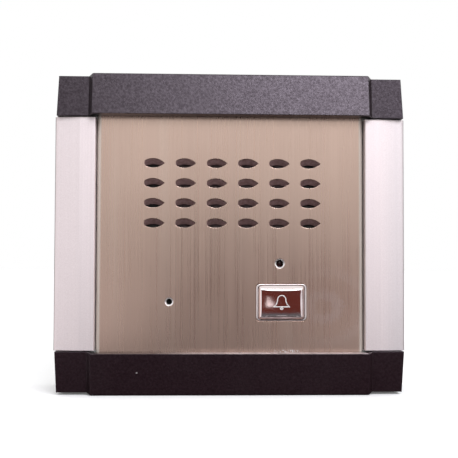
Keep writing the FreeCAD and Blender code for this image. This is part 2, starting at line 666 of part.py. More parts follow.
# coil spring under the button
coil = doc.addObject("Part::Helix", "Coil")
size(coil, "Pitch", D.spring_pitch)
size(coil, "Height", D.key_flange_back - D.guide_back - 2 * D.spring_wire - 0.1)
size(coil, "Radius", D.spring_rad)
wire = doc.addObject("Part::Circle", "Wire")
size(wire, "Radius", D.spring_wire)
place(wire, D.spring_rad, 0.0, 0.0, FreeCAD.Rotation(V(1, 0, 0), 90))
spring = doc.addObject("Part::Sweep", "Spring")
spring.Sections = [wire]
spring.Spine = (coil, [])
spring.Solid = True
spring.Frenet = True
place(spring, D.key_x, WALL - (D.guide_back + D.spring_wire + 0.05), D.key_z,
      FreeCAD.Rotation(V(1, 0, 0), 90))
keep("button_spring", spring)

# push switch on the board
hs = D.switch_side / 2
p = Piece("switch_body", D.key_x, WALL, D.key_z)
p.pad("XZ_Plane", D.board_front, D.switch_front, [rect(-hs, hs, -hs, hs)])
p.cut("XZ_Plane", D.plunger_well, D.switch_front + 1, [("o", 0.0, 0.0, D.plunger_rad + 0.2)])
p = Piece("switch_plunger", D.key_x, WALL, D.key_z)
p.pad("XZ_Plane", D.plunger_back, D.plunger_tip, [("o", 0.0, 0.0, D.plunger_rad)])

# ------------------------------------------------------ indicator lamp, mic
p = Piece("led_lamp", D.led_x, WALL, D.led_z)
lamp = [(0.0, -31.6), (0.0, -24.6), (1.8, -24.6), (1.8, -25.6), (1.5, -25.6), (1.5, -30.1),
        (1.3, -30.9), (0.8, -31.4)]
p.turn([lamp])
p.pad("XZ_Plane", D.board_front, 24.7, [rect(-1.5, -1.0, -0.25, 0.25), ])
p.pad("XZ_Plane", D.board_front, 24.7, [rect(1.0, 1.5, -0.25, 0.25)])
p = Piece("led_holder", D.led_x, WALL, D.led_z)
p.pad("XZ_Plane", 26.0, D.plate_back, [("o", 0.0, 0.0, 2.4), ("o", 0.0, 0.0, 1.6)])

p = Piece("mic_boot", D.mic_x, WALL, D.mic_z)
p.pad("XZ_Plane", D.board_front, D.plate_back, [("o", 0.0, 0.0, 6.5)])
p.cut("XZ_Plane", D.board_front - 1, 29.6, [("o", 0.0, 0.0, 4.9)])
p.cut("XZ_Plane", 29.0, D.plate_back + 1, [("o", 0.0, 0.0, 1.5)])
p = Piece("mic_capsule", D.mic_x, WALL, D.mic_z)
p.pad("XZ_Plane", 23.1, 29.5, [("o", 0.0, 0.0, 4.85)])
p.pad("XZ_Plane", D.board_front, 23.1, [rect(-1.6, -1.0, -0.3, 0.3), rect(1.0, 1.6, -0.3, 0.3)])

# ------------------------------------------------------- speaker box, gauze
lx, lz = D.louvre_x, D.louvre_z
bh_, bw_ = D.baffle_high, D.baffle_half
p = Piece("speaker_box", lx, WALL, lz)
p.pad("XZ_Plane", D.baffle_back, D.plate_back, [rect(-bw_, bw_, -bh_, bh_)])
p.dress("Fillet", 2.5, lambda b, e: b.YLength > 4 and near(abs(b.Center.x), bw_))
p.cut("XZ_Plane", D.baffle_floor, D.plate_back + 1,
      [[(-38.0, -18.0), (-24.0, -18.0), (-24.0, -23.2), (24.0, -23.2), (24.0, -18.0), (38.0, -18.0),
        (38.0, 18.0), (24.0, 18.0), (24.0, 23.2), (-24.0, 23.2), (-24.0, 18.0), (-38.0, 18.0)]])
p.cut("XZ_Plane", D.baffle_back - 1, D.baffle_floor + 1, [("o", 0.0, 0.0, D.baffle_mouth)])
p.cut("XZ_Plane", D.baffle_back - 1, D.plate_back + 1,
      [("o", sx * bx, sz * bz, D.stud_rad + 0.1) for sx in (-1.0, 1.0) for sz in (-1.0, 1.0)])
p = Piece("dust_gauze", lx, WALL, lz)
p.pad("XZ_Plane", D.baffle_floor, D.baffle_floor + 0.3, [rect(-23.4, 23.4, -22.8, 22.8)])

keep("speaker_box_nuts", carve(
    fuse([whex(x, z, D.baffle_back - D.nut_high, D.baffle_back, D.nut_rad) for x, z in baffle_at]),
    [wcyl(x, z, D.baffle_back - 4, D.baffle_back + 1, D.stud_rad + 0.05) for x, z in baffle_at]))

# ------------------------------------------------------------------- speaker
# profiles are (radius, -depth), turned about the speaker's axis
p = Piece("speaker_basket", lx, WALL, lz)
p.turn([[(22.6, -27.0), (25.5, -27.0), (25.5, -26.0), (23.2, -26.0), (15.0, -16.6),
         (9.0, -16.6), (9.0, -17.4), (14.6, -17.4), (22.6, -26.4)]])
window = p.cut("XZ_Plane", 17.8, 25.0, [[(15.2, -5.6), (21.4, -8.4), (21.4, 8.4), (15.2, 5.6)]])
p.ring([window], 4)

p = Piece("speaker_top_plate", lx, WALL, lz)
p.turn([[(6.3, -14.1), (15.0, -14.1), (15.0, -16.6), (6.3, -16.6)]])
p = Piece("speaker_magnet", lx, WALL, lz)
p.turn([[(8.5, -9.1), (16.0, -9.1), (16.0, -14.1), (8.5, -14.1)]])
p = Piece("speaker_yoke", lx, WALL, lz)
p.turn([[(0.0, -7.1), (15.0, -7.1), (15.0, -9.1), (4.9, -9.1), (4.9, -16.8), (0.0, -16.8)]])
p = Piece("speaker_voice_coil", lx, WALL, lz)
p.turn([[(5.35, -12.0), (5.85, -12.0), (5.85, -16.4), (5.7, -16.4), (5.7, -19.4), (5.35, -19.4)]])
p = Piece("speaker_cone", lx, WALL, lz)
p.turn([[(5.7, -18.8), (6.2, -18.8), (19.2, -25.6), (20.2, -25.6), (20.2, -26.0), (19.0, -26.0),
         (5.7, -19.4)]])
p = Piece("speaker_dust_cap", lx, WALL, lz)
p.turn([[(0.0, -22.0), (0.0, -21.6), (2.6, -21.2), (4.8, -20.4), (6.3, -19.72), (6.75, -19.94),
         (5.0, -20.85), (2.7, -21.65)]])
p = Piece("speaker_surround", lx, WALL, lz)
p.turn([[(19.4, -26.0), (20.2, -26.0), (20.7, -26.35), (21.4, -26.6), (22.0, -26.45), (22.6, -26.45),
         (22.6, -26.75), (22.1, -26.75), (21.4, -26.95), (20.5, -26.75), (20.0, -26.35), (19.4, -26.3)]])
p = Piece("speaker_spider", lx, WALL, lz)
p.turn([[(5.85, -18.1), (12.3, -18.1), (12.8, -17.4), (14.0, -17.4), (14.0, -17.7), (13.0, -17.7),
         (12.5, -18.4), (5.85, -18.4)]])
p = Piece("speaker_terminals", lx, WALL, lz)
p.pad("XZ_Plane", 20.8, 22.0, [rect(-5.0, 5.0, -24.2, -19.8)])

# clips that press the speaker's rim onto its box, four alike
parts = []
screws = []
for k in range(4):
    a = math.radians(45 + 90 * k)
    clip = doc.addObject("Part::Box", "Clip")
    size(clip, "Length", D.clip_long)
    size(clip, "Width", D.clip_wide)
    clip.Height = 1.2
    foot = doc.addObject("Part::Box", "Foot")
    foot.Length, foot.Height = 2.6, 1.0
    size(foot, "Width", D.clip_wide)
    for o, r0, w0 in ((clip, 23.4, 24.8), (foot, 27.8, 26.0)):
        turn = FreeCAD.Rotation(V(1, 0, 0), 90).multiply(FreeCAD.Rotation(V(0, 0, 1), math.degrees(a)))
        corner = turn.multVec(V(r0, -num(D.clip_wide) / 2, 0))
        place(o, lx + corner.x, WALL - w0 + corner.y, lz + corner.z, turn)
    cx, cz = lx + 26.9 * math.cos(a), lz + 26.9 * math.sin(a)
    parts.append(carve(fuse([clip, foot]), [wcyl(cx, cz, 24.0, 28.0, 1.3)]))
    screws += [wcyl(cx, cz, 23.2, 24.8, 2.3), wcyl(cx, cz, 24.8, 27.0, 1.25)]
keep("speaker_clips", fuse(parts))
keep("speaker_clip_screws", fuse(screws))

# two leads from the speaker's tags to the board's connector
lead_r = 0.5
leads = []
for dx in (-2.2, 2.2):
    x = num(lx) + dx
    y = lambda w: num(WALL) - w
    zt, zb = num(lz) - 22.4, 53.0
    bend = 1.4
    wf, wb = 20.8, 17.9
    a, b = V(x, y(wf), zt), V(x, y(wb + bend), zt)
    m = V(x, y(wb + bend * (1 - math.sin(math.pi / 4))), zt - bend * (1 - math.cos(math.pi / 4)))
    c = V(x, y(wb), zt - bend)
    d = V(x, y(wb), zb)
    path = Part.Wire([Part.LineSegment(a, b).toShape(), Part.Arc(b, m, c).toShape(),
                      Part.LineSegment(c, d).toShape()])
    ringw = Part.Wire([Part.Circle(a, V(0, 1, 0), lead_r).toShape()])
    leads.append(path.makePipeShell([ringw], True, False))
obj = doc.addObject("Part::Feature", "Leads")
obj.Shape = Part.Compound(leads)
obj.Placement = FreeCAD.Placement()
keep("speaker_leads", obj)

# ------------------------------------------------------------- circuit board
p = Piece("circuit_board")
p.pad("XZ_Plane", D.board_back, D.board_front,
      [rect(-D.board_half, D.board_half, D.board_low, D.board_top)])
p.cut("XZ_Plane", D.board_back - 1, D.board_front + 1,
      [("o", x, z, D.stud_rad + 0.1) for x, z in board_at])
keep("board_spacers", carve(
    fuse([wcyl(x, z, D.board_front, D.plate_back, D.spacer_rad) for x, z in board_at]),
    [wcyl(x, z, D.board_front - 1, D.plate_back + 1, D.stud_rad + 0.1) for x, z in board_at]))
keep("board_nuts", carve(
    fuse([whex(x, z, D.board_back - D.nut_high, D.board_back, D.nut_rad) for x, z in board_at]),
    [wcyl(x, z, D.stud_end, D.board_back + 1, D.stud_rad + 0.05) for x, z in board_at]))

p = Piece("terminal_block", -34.0, WALL, 21.0)
p.pad("XZ_Plane", 9.5, D.board_back, [rect(0.0, 30.0, 0.0, 9.0)])
p.cut("XZ_Plane", 8.5, 14.0, [("o", 2.5 + 5.0 * k, 5.0, 2.0) for k in range(6)])
p.cut("XY_Plane", -1.0, 3.4, [rect(0.9 + 5.0 * k, 4.1 + 5.0 * k, -17.6, -14.6) for k in range(6)])
keep("terminal_screws", carve(
    fuse([wcyl(-31.5 + 5.0 * k, 26.0, 10.6, 14.0, 1.8) for k in range(6)]),
    [wbox(-33.0 + 5.0 * k, -30.0 + 5.0 * k, 10.0, 11.5, 25.7, 26.3) for k in range(6)]))
keep("capacitors", fuse([wcyl(6.0, 27.0, 9.0, D.board_back, 4.0), wcyl(17.0, 27.0, 9.0, D.board_back, 4.0)]))
keep("amplifier_chip", wbox(-31.0, -21.0, 16.6, D.board_back, 38.0, 44.4))
keep("resistors", fuse([c for k in range(5) for c in (
    [wbox(26.0, 32.4, 17.8, D.board_back, 33.0 + 4.0 * k, 35.0 + 4.0 * k)])]))
keep("speaker_connector", wbox(lx - 4.0, lx + 4.0, 15.5, D.board_back, 48.6, 53.0))

trim_at = (("speaker", -9.0), ("microphone", 11.0))
keep("trimmer_bodies", carve(
    fuse([wbox(x - 3.5, x + 3.5, 15.0, D.board_back, 39.5, 46.5) for _, x in trim_at]),
    [wcyl(x, 43.0, 14.0, 16.6, 2.7) for _, x in trim_at]))
for word, x in trim_at:
    p = Piece(word + "_trimmer_rotor", x, WALL, 43.0)
    p.pad("XZ_Plane", 14.0, 16.3, [("o", 0.0, 0.0, 2.35)])
    p.cut("XZ_Plane", 13.0, 14.8, [rect(-0.35, 0.35, -1.8, 1.8)])
    p.cut("XZ_Plane", 13.0, 14.8, [rect(0.35, 1.2, -0.3, 0.3)])

# ------------------------------------------------------------------ back box
p = Piece("back_box")
h, wl = D.box_half, D.box_wall
p.pad("XZ_Plane", Dim(0.0, "0"), D.box_front, [rect(-h, h, Dim(0.0, "0"), D.box_top)])
p.dress("Fillet", D.box_round, lambda b, e: b.YLength > 15 and near(abs(b.Center.x), h))
p.cut("XZ_Plane", D.box_floor, D.box_front + 1, [rect(-(h - wl), h - wl, wl, D.box_top - wl)])
si, sw = D.seal_in, D.seal_wide
p.cut("XZ_Plane", D.seal_bottom, D.box_front + 1,
      [rect(-(h - si), h - si, si, D.box_top - si),
       rect(-(h - si - sw), h - si - sw, si + sw, D.box_top - si - sw)])
# bosses for the closing screws
fx, fb = D.fix_x, D.fix_boss
fz_hi = D.height_total - D.fix_z
p.pad("XZ_Plane", D.box_floor - 0.5, D.box_front - 0.4,
      [rect(fx - fb, fx + fb, wl - 0.5, D.fix_z + fb),
       rect(fx - fb, fx + fb, fz_hi - fb, D.box_top - wl + 0.5)])
p.cut("XZ_Plane", 8.0, D.box_front + 1,
      [("o", fx, D.fix_z, D.fix_hole), ("o", fx, fz_hi, D.fix_hole)])
# hinge lugs
xh = -(D.width_half - D.hinge_inset)
wh = D.rail_back + D.hinge_inset
for low in (D.lug_first, D.lug_mid, D.lug_last):
    p.pad("XY_Plane", low, low + D.lug_high,
          [[(xh - 1.9, -wh), (xh - 1.9, -(D.box_front - 0.2)), (xh - 0.8, -(D.box_front - 2.2)),
            (xh - 0.8, -(D.box_front - 6.0)), (xh + 2.2, -(D.box_front - 6.0)), (xh + 2.2, -wh)]])
    p.pad("XY_Plane", low, low + D.lug_high, [("o", xh, -wh, D.lug_rad)])
p.cut("XY_Plane", D.lug_first - 1, D.lug_last + D.lug_high + 1, [("o", xh, -wh, D.hinge_bore)])
# wall holes and cable inlet
p.cut("XZ_Plane", Dim(0.0, "0") - 1, D.box_floor + 1,
      [("o", sx * D.wall_hole_x, MID + sz * D.wall_hole_z, D.wall_hole)
       for sx in (-1.0, 1.0) for sz in (-1.0, 1.0)] + [("o", D.inlet_x, D.inlet_z, D.inlet_rad)])

p = Piece("cable_grommet", D.inlet_x, WALL, D.inlet_z)
p.turn([[(D.grommet_bore, -0.4), (D.inlet_rad, -0.4), (D.inlet_rad, -D.box_floor),
         (D.grommet_rim, -D.box_floor), (D.grommet_rim, -(D.box_floor + 1.4)),
         (D.grommet_bore, -(D.box_floor + 1.4))]])

p = Piece("seal_strip_whole")
nodes.pop("seal_strip_whole")
p.pad("XZ_Plane", D.seal_bottom, D.seal_top,
      [rect(-(h - si), h - si, si, D.box_top - si),
       rect(-(h - si - sw), h - si - sw, si + sw, D.box_top - si - sw)])
keep("box_seal", carve(p.body, [
    wbox(xh - 4, xh + 4, D.seal_bottom - 4, D.seal_top + 4, low - 0.2, low + D.lug_high + 0.2)
    for low in (D.lug_first, D.lug_mid, D.lug_last)]))


# ------------------------------------------------------------------- checks
doc.recompute()
bad = [o.Label + " " + "/".join(o.State) for o in doc.Objects
       if "Invalid" in o.State or "Error" in o.State]
for o in doc.Objects:
    if o.TypeId in ("PartDesign::Pocket", "PartDesign::Groove") and o.BaseFeature is not None:
        if o.Shape.Volume > o.BaseFeature.Shape.Volume - 1e-4:
            bad.append(o.Name + " of " + o.getParentGeoFeatureGroup().Label + " cuts nothing")
for label, o in nodes.items():
    if o.Shape.isNull() or not o.Shape.isValid() or not o.Shape.Solids:
        bad.append(label + " has no valid solid")
    elif o.TypeId == "PartDesign::Body" and len(o.Shape.Solids) != 1:
        bad.append(label + " has %d solids" % len(o.Shape.Solids))
if bad:
    raise RuntimeError("; ".join(bad))

os.makedirs("parts", exist_ok=True)
for label, o in nodes.items():
    o.Shape.exportStep(os.path.join("parts", label + ".step"))
box = Part.Compound([o.Shape for o in nodes.values()]).BoundBox
print("%d nodes, box X %.2f..%.2f Y %.2f..%.2f Z %.2f..%.2f" % (
    len(nodes), box.XMin, box.XMax, box.YMin, box.YMax, box.ZMin, box.ZMax))
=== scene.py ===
import bpy
import bmesh
import math
import random
from mathutils import Vector, Matrix


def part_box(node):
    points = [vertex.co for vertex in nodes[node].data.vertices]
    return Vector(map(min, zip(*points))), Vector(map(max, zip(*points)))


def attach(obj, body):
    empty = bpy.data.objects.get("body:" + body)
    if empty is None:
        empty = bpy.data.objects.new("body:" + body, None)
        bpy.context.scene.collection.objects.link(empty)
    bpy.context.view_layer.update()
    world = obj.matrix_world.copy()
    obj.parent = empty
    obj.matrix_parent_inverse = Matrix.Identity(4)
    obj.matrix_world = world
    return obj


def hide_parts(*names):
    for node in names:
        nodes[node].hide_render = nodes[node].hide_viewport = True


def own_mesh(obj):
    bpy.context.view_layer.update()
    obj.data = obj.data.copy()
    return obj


# Door intercom station. Metres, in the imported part's own frame:
# +X to the right seen from the front, the front faces -Y, +Z up.

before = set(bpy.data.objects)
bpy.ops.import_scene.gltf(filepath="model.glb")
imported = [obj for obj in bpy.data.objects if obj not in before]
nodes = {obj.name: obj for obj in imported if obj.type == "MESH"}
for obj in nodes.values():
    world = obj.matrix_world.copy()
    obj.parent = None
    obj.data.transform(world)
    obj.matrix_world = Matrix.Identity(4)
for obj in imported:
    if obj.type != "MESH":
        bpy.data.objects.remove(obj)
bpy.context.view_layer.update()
scene = bpy.context.scene
random.seed(7)
MM = 0.001


# --------------------------------------------------------------- node helpers
class Paint:
    """A material under construction: short calls for the nodes it needs."""

    def __init__(self, name):
        self.m = bpy.data.materials.new(name)
        self.m.use_nodes = True
        self.t = self.m.node_tree
        self.t.nodes.clear()
        self.out = self.t.nodes.new("ShaderNodeOutputMaterial")
        self.b = self.t.nodes.new("ShaderNodeBsdfPrincipled")
        self.t.links.new(self.b.outputs[0], self.out.inputs[0])
        self.tc = self.t.nodes.new("ShaderNodeTexCoord")

    def put(self, sock, v):
        if hasattr(v, "links"):
            self.t.links.new(v, sock)
        elif isinstance(v, (tuple, list)) and len(v) == 3 and sock.type == "RGBA":
            sock.default_value = (*v, 1.0)
        else:
            sock.default_value = v

    def set(self, **kw):
        names = {"color": "Base Color", "metal": "Metallic", "rough": "Roughness",
                 "normal": "Normal", "spec": "Specular IOR Level", "coat": "Coat Weight",
                 "coat_rough": "Coat Roughness", "aniso": "Anisotropic", "tangent": "Tangent",
                 "alpha": "Alpha", "trans": "Transmission Weight", "ior": "IOR",
                 "sheen": "Sheen Weight", "emit": "Emission Color", "power": "Emission Strength",
                 "sub": "Subsurface Weight", "spec_tint": "Specular Tint"}
        for k, v in kw.items():
            self.put(self.b.inputs[names[k]], v)
        return self

    def at(self, scale=(1, 1, 1), shift=(0, 0, 0), turn=(0, 0, 0)):
        n = self.t.nodes.new("ShaderNodeMapping")
        n.inputs["Location"].default_value = shift
        n.inputs["Rotation"].default_value = turn
        n.inputs["Scale"].default_value = scale
        self.t.links.new(self.tc.outputs["Object"], n.inputs["Vector"])
        return n.outputs[0]

    def noise(self, scale, vec=None, detail=3.0, rough=0.5, warp=0.0):
        n = self.t.nodes.new("ShaderNodeTexNoise")
        self.put(n.inputs["Vector"], vec or self.tc.outputs["Object"])
        n.inputs["Scale"].default_value = scale
        n.inputs["Detail"].default_value = detail
        n.inputs["Roughness"].default_value = rough
        n.inputs["Distortion"].default_value = warp
        return n.outputs[0]

    def cells(self, scale, vec=None, feature="F1"):
        n = self.t.nodes.new("ShaderNodeTexVoronoi")
        n.feature = feature
        self.put(n.inputs["Vector"], vec or self.tc.outputs["Object"])
        n.inputs["Scale"].default_value = scale
        return n.outputs["Distance"]

    def ramp(self, fac, *stops):
        n = self.t.nodes.new("ShaderNodeValToRGB")
        e = n.color_ramp.elements
        while len(e) < len(stops):
            e.new(0.5)
        for el, (p, c) in zip(e, stops):
            el.position = p
            el.color = (c, c, c, 1) if isinstance(c, (int, float)) else (*c, 1)
        self.put(n.inputs[0], fac)
        return n.outputs[0]

    def mix(self, fac, a, b, kind="MIX"):
        n = self.t.nodes.new("ShaderNodeMix")
        n.data_type = "RGBA"
        n.blend_type = kind
        self.put(n.inputs[0], fac)
        self.put(n.inputs[6], a if not isinstance(a, (int, float)) else (a, a, a))
        self.put(n.inputs[7], b if not isinstance(b, (int, float)) else (b, b, b))
        return n.outputs[2]

    def math(self, op, a, b=0.0, c=0.0, clamp=False):
        n = self.t.nodes.new("ShaderNodeMath")
        n.operation = op
        n.use_clamp = clamp
        self.put(n.inputs[0], a)
        self.put(n.inputs[1], b)
        self.put(n.inputs[2], c)
        return n.outputs[0]

    def spot(self, x, z, r, soft=0.4, y=None):
        """1 inside radius r of (x, z) metres, fading over the last part of it."""
        n = self.t.nodes.new("ShaderNodeVectorMath")
        n.operation = "DISTANCE"
        m = self.at((1, 0 if y is None else 1, 1))
        self.t.links.new(m, n.inputs[0])
        n.inputs[1].default_value = (x, y or 0, z)
        k = self.t.nodes.new("ShaderNodeMapRange")
        self.t.links.new(n.outputs["Value"], k.inputs[0])
        k.inputs[1].default_value = r
        k.inputs[2].default_value = r * (1 - soft)
        k.inputs[3].default_value = 0.0
        k.inputs[4].default_value = 1.0
        return k.outputs[0]

    def soft(self, radius):
        n = self.t.nodes.new("ShaderNodeBevel")
        n.samples = 6
        n.inputs["Radius"].default_value = radius
        return n.outputs[0]

    def bump(self, height, strength, depth, base=None):
        n = self.t.nodes.new("ShaderNodeBump")
        n.inputs["Strength"].default_value = strength
        n.inputs["Distance"].default_value = depth
        self.put(n.inputs["Height"], height)
        if base is not None:
            self.t.links.new(base, n.inputs["Normal"])
        return n.outputs[0]

    def edge(self, lo=0.52, hi=0.62, reach=0.0006):
        """1 along outer edges: where a rounded normal leaves the surface's own, and the edge stands out."""
        g = self.t.nodes.new("ShaderNodeNewGeometry")
        d = self.t.nodes.new("ShaderNodeVectorMath")
        d.operation = "DOT_PRODUCT"
        self.t.links.new(self.soft(reach), d.inputs[0])
        self.t.links.new(g.outputs["Normal"], d.inputs[1])
        near = self.ramp(d.outputs["Value"], (0.88, 1.0), (0.985, 0.0))
        return self.math("MULTIPLY", near, self.ramp(g.outputs["Pointiness"], (0.50, 0.0), (lo, 1.0)))


# ------------------------------------------------------------------ materials
def plate_steel():
    p = Paint("brushed_plate")
    fine = p.noise(1.0, p.at((5200, 900, 26)), 4, 0.62)
    lines = p.noise(1.0, p.at((1500, 300, 7), (3, 1, 2)), 3, 0.6)
    bands = p.noise(1.0, p.at((150, 60, 2.5), (1, 4, 7)), 2, 0.5)
    cloud = p.noise(26, p.at((1, 1, 1), (0.3, 0, 0.1)), 3, 0.55)
    c = p.ramp(p.math("ADD", p.math("MULTIPLY", fine, 0.6), p.math("MULTIPLY", lines, 0.4)),
               (0.32, (0.548, 0.398, 0.330)), (0.5, (0.575, 0.422, 0.350)), (0.68, (0.602, 0.446, 0.372)))
    c = p.mix(0.35, c, p.ramp(bands, (0.3, (0.88, 0.88, 0.89)), (0.7, (1, 1, 1))), "MULTIPLY")
    c = p.mix(0.35, c, p.ramp(cloud, (0.35, (0.90, 0.88, 0.87)), (0.65, (1, 1, 1))), "MULTIPLY")
    slow = p.noise(1.0, p.at((62, 20, 3.2), (5, 2, 1)), 2, 0.5)
    c = p.mix(p.ramp(slow, (0.50, 0.0), (0.72, 0.35)), c, (0.66, 0.545, 0.470))
    # faint wiped arcs right of the button and short scuffs along the lower edge
    arcs = p.t.nodes.new("ShaderNodeTexWave")
    arcs.wave_type = "RINGS"
    arcs.rings_direction = "SPHERICAL"
    p.put(arcs.inputs["Vector"], p.at((1, 0.001, 1.25), (-0.037, 0, -0.043)))
    arcs.inputs["Scale"].default_value = 26.0
    arcs.inputs["Distortion"].default_value = 2.2
    arcs.inputs["Detail"].default_value = 2.0
    arcs.inputs["Detail Scale"].default_value = 30.0
    wipe = p.math("MULTIPLY", p.spot(0.042, 0.034, 0.019, 0.8), p.ramp(arcs.outputs["Fac"], (0.45, 0.0), (0.9, 1.0)))
    c = p.mix(p.math("MULTIPLY", wipe, 0.16), c, (0.80, 0.73, 0.74))
    sx = p.t.nodes.new("ShaderNodeSeparateXYZ")
    p.put(sx.inputs[0], p.tc.outputs["Object"])
    # painted highlight: the countersunk rims round the lamp and microphone holes are painted paler and made rougher
    cone = p.math("MAXIMUM", p.spot(0.0198, 0.0517, 0.00203, 0.02), p.spot(-0.0243, 0.0364, 0.00173, 0.02))
    c = p.mix(cone, c, (0.93, 0.89, 0.88))
    low = p.math("MULTIPLY", p.math("LESS_THAN", sx.outputs[2], 0.01735),
                 p.ramp(p.noise(1.0, p.at((1500, 10, 900)), 3, 0.6), (0.50, 0.0), (0.56, 1.0)))
    low = p.math("MULTIPLY", low, p.spot(0.0232, 0.0170, 0.0062, 0.5))
    c = p.mix(low, c, (0.95, 0.93, 0.92))
    # painted shade inside the pressed louvres: a dull, darker film standing for shade in the recesses, with some grime
    inside = p.math("MULTIPLY", p.math("GREATER_THAN", sx.outputs[1], -0.01290), p.math("GREATER_THAN", sx.outputs[2], 0.0620))
    inside = p.math("MULTIPLY", inside, p.math("LESS_THAN", p.math("ABSOLUTE", sx.outputs[0]), 0.045))
    louvre_shade_and_grime = p.ramp(p.noise(900, detail=3), (0.3, (0.26, 0.152, 0.148)), (0.7, (0.42, 0.272, 0.268)))
    c = p.mix(inside, c, louvre_shade_and_grime)
    # the sheet's folded sides are painted pale and dull: a painted highlight where the bends catch the light
    fold = p.math("MULTIPLY_ADD", p.math("ABSOLUTE", sx.outputs[0]), 1250.0, -64.3, clamp=True)
    fold = p.math("MULTIPLY", fold, p.ramp(slow, (0.30, 0.70), (0.70, 1.0)))
    c = p.mix(fold, c, (0.64, 0.60, 0.54))
    r = p.math("ADD", p.ramp(lines, (0.3, 0.22), (0.7, 0.31)), p.math("MULTIPLY", cloud, 0.05))
    r = p.math("ADD", r, p.math("MULTIPLY", inside, 0.30))
    r = p.math("ADD", r, p.math("MULTIPLY", cone, 0.22))
    n = p.bump(fine, 0.03, 0.00003, p.soft(0.00022))
    n = p.bump(lines, 0.015, 0.00003, n)
    t = p.t.nodes.new("ShaderNodeTangent")
    t.direction_type = "RADIAL"
    t.axis = "Z"
    p.set(color=c, metal=p.math("SUBTRACT", 1.0, p.math("MAXIMUM", p.math("MULTIPLY", inside, 0.95), p.math("MULTIPLY", fold, 0.80))),
          rough=r, normal=n, aniso=0.55,
          tangent=t.outputs[0])
    return p.m


def rail_metal():
    p = Paint("satin_rail")
    grain = p.noise(2600, detail=4, rough=0.7)
    spark = p.cells(2100)
    drawn = p.noise(1.0, p.at((1500, 1500, 5)), 3, 0.6)
    wide = p.noise(1.0, p.at((60, 60, 9), (2, 0, 1)), 2)
    c = p.ramp(grain, (0.3, (0.78, 0.690, 0.698)), (0.55, (0.85, 0.760, 0.770)), (0.8, (0.93, 0.860, 0.870)))
    c = p.mix(0.35, c, p.ramp(drawn, (0.3, 0.88), (0.7, 1.0)), "MULTIPLY")
    c = p.mix(0.5, c, p.ramp(wide, (0.3, (0.95, 0.94, 0.93)), (0.7, (1, 1, 1))), "MULTIPLY")
    sx = p.t.nodes.new("ShaderNodeSeparateXYZ")
    p.put(sx.inputs[0], p.tc.outputs["Object"])
    # painted shade: the right rail is darkened towards its outer side
    c = p.mix(p.math("MULTIPLY_ADD", sx.outputs[0], 160.0, -9.6, clamp=True), c, (0.905, 0.925, 0.93), "MULTIPLY")
    # painted shade: the rounded outer front corner is darkened to a thin dark line
    edge_tone = p.math("MULTIPLY", p.math("MULTIPLY_ADD", p.math("ABSOLUTE", sx.outputs[0]), 6000.0, -415.3, clamp=True),
                  p.math("LESS_THAN", sx.outputs[1], -0.01375))
    edge_tone = p.math("MULTIPLY", edge_tone, p.ramp(p.noise(1.0, p.at((90, 90, 30), (1, 5, 2)), 2), (0.3, 0.62), (0.7, 0.85)))
    c = p.mix(edge_tone, c, (0.085, 0.065, 0.070))
    dark = p.ramp(spark, (0.02, 0.72), (0.14, 1.0))
    c = p.mix(0.35, c, dark, "MULTIPLY")
    r = p.ramp(grain, (0.25, 0.40), (0.75, 0.52))
    n = p.bump(grain, 0.22, 0.00005, p.soft(0.0003))
    n = p.bump(drawn, 0.10, 0.00004, n)
    p.set(color=c, metal=0.55, rough=r, normal=n, spec=0.5)
    return p.m


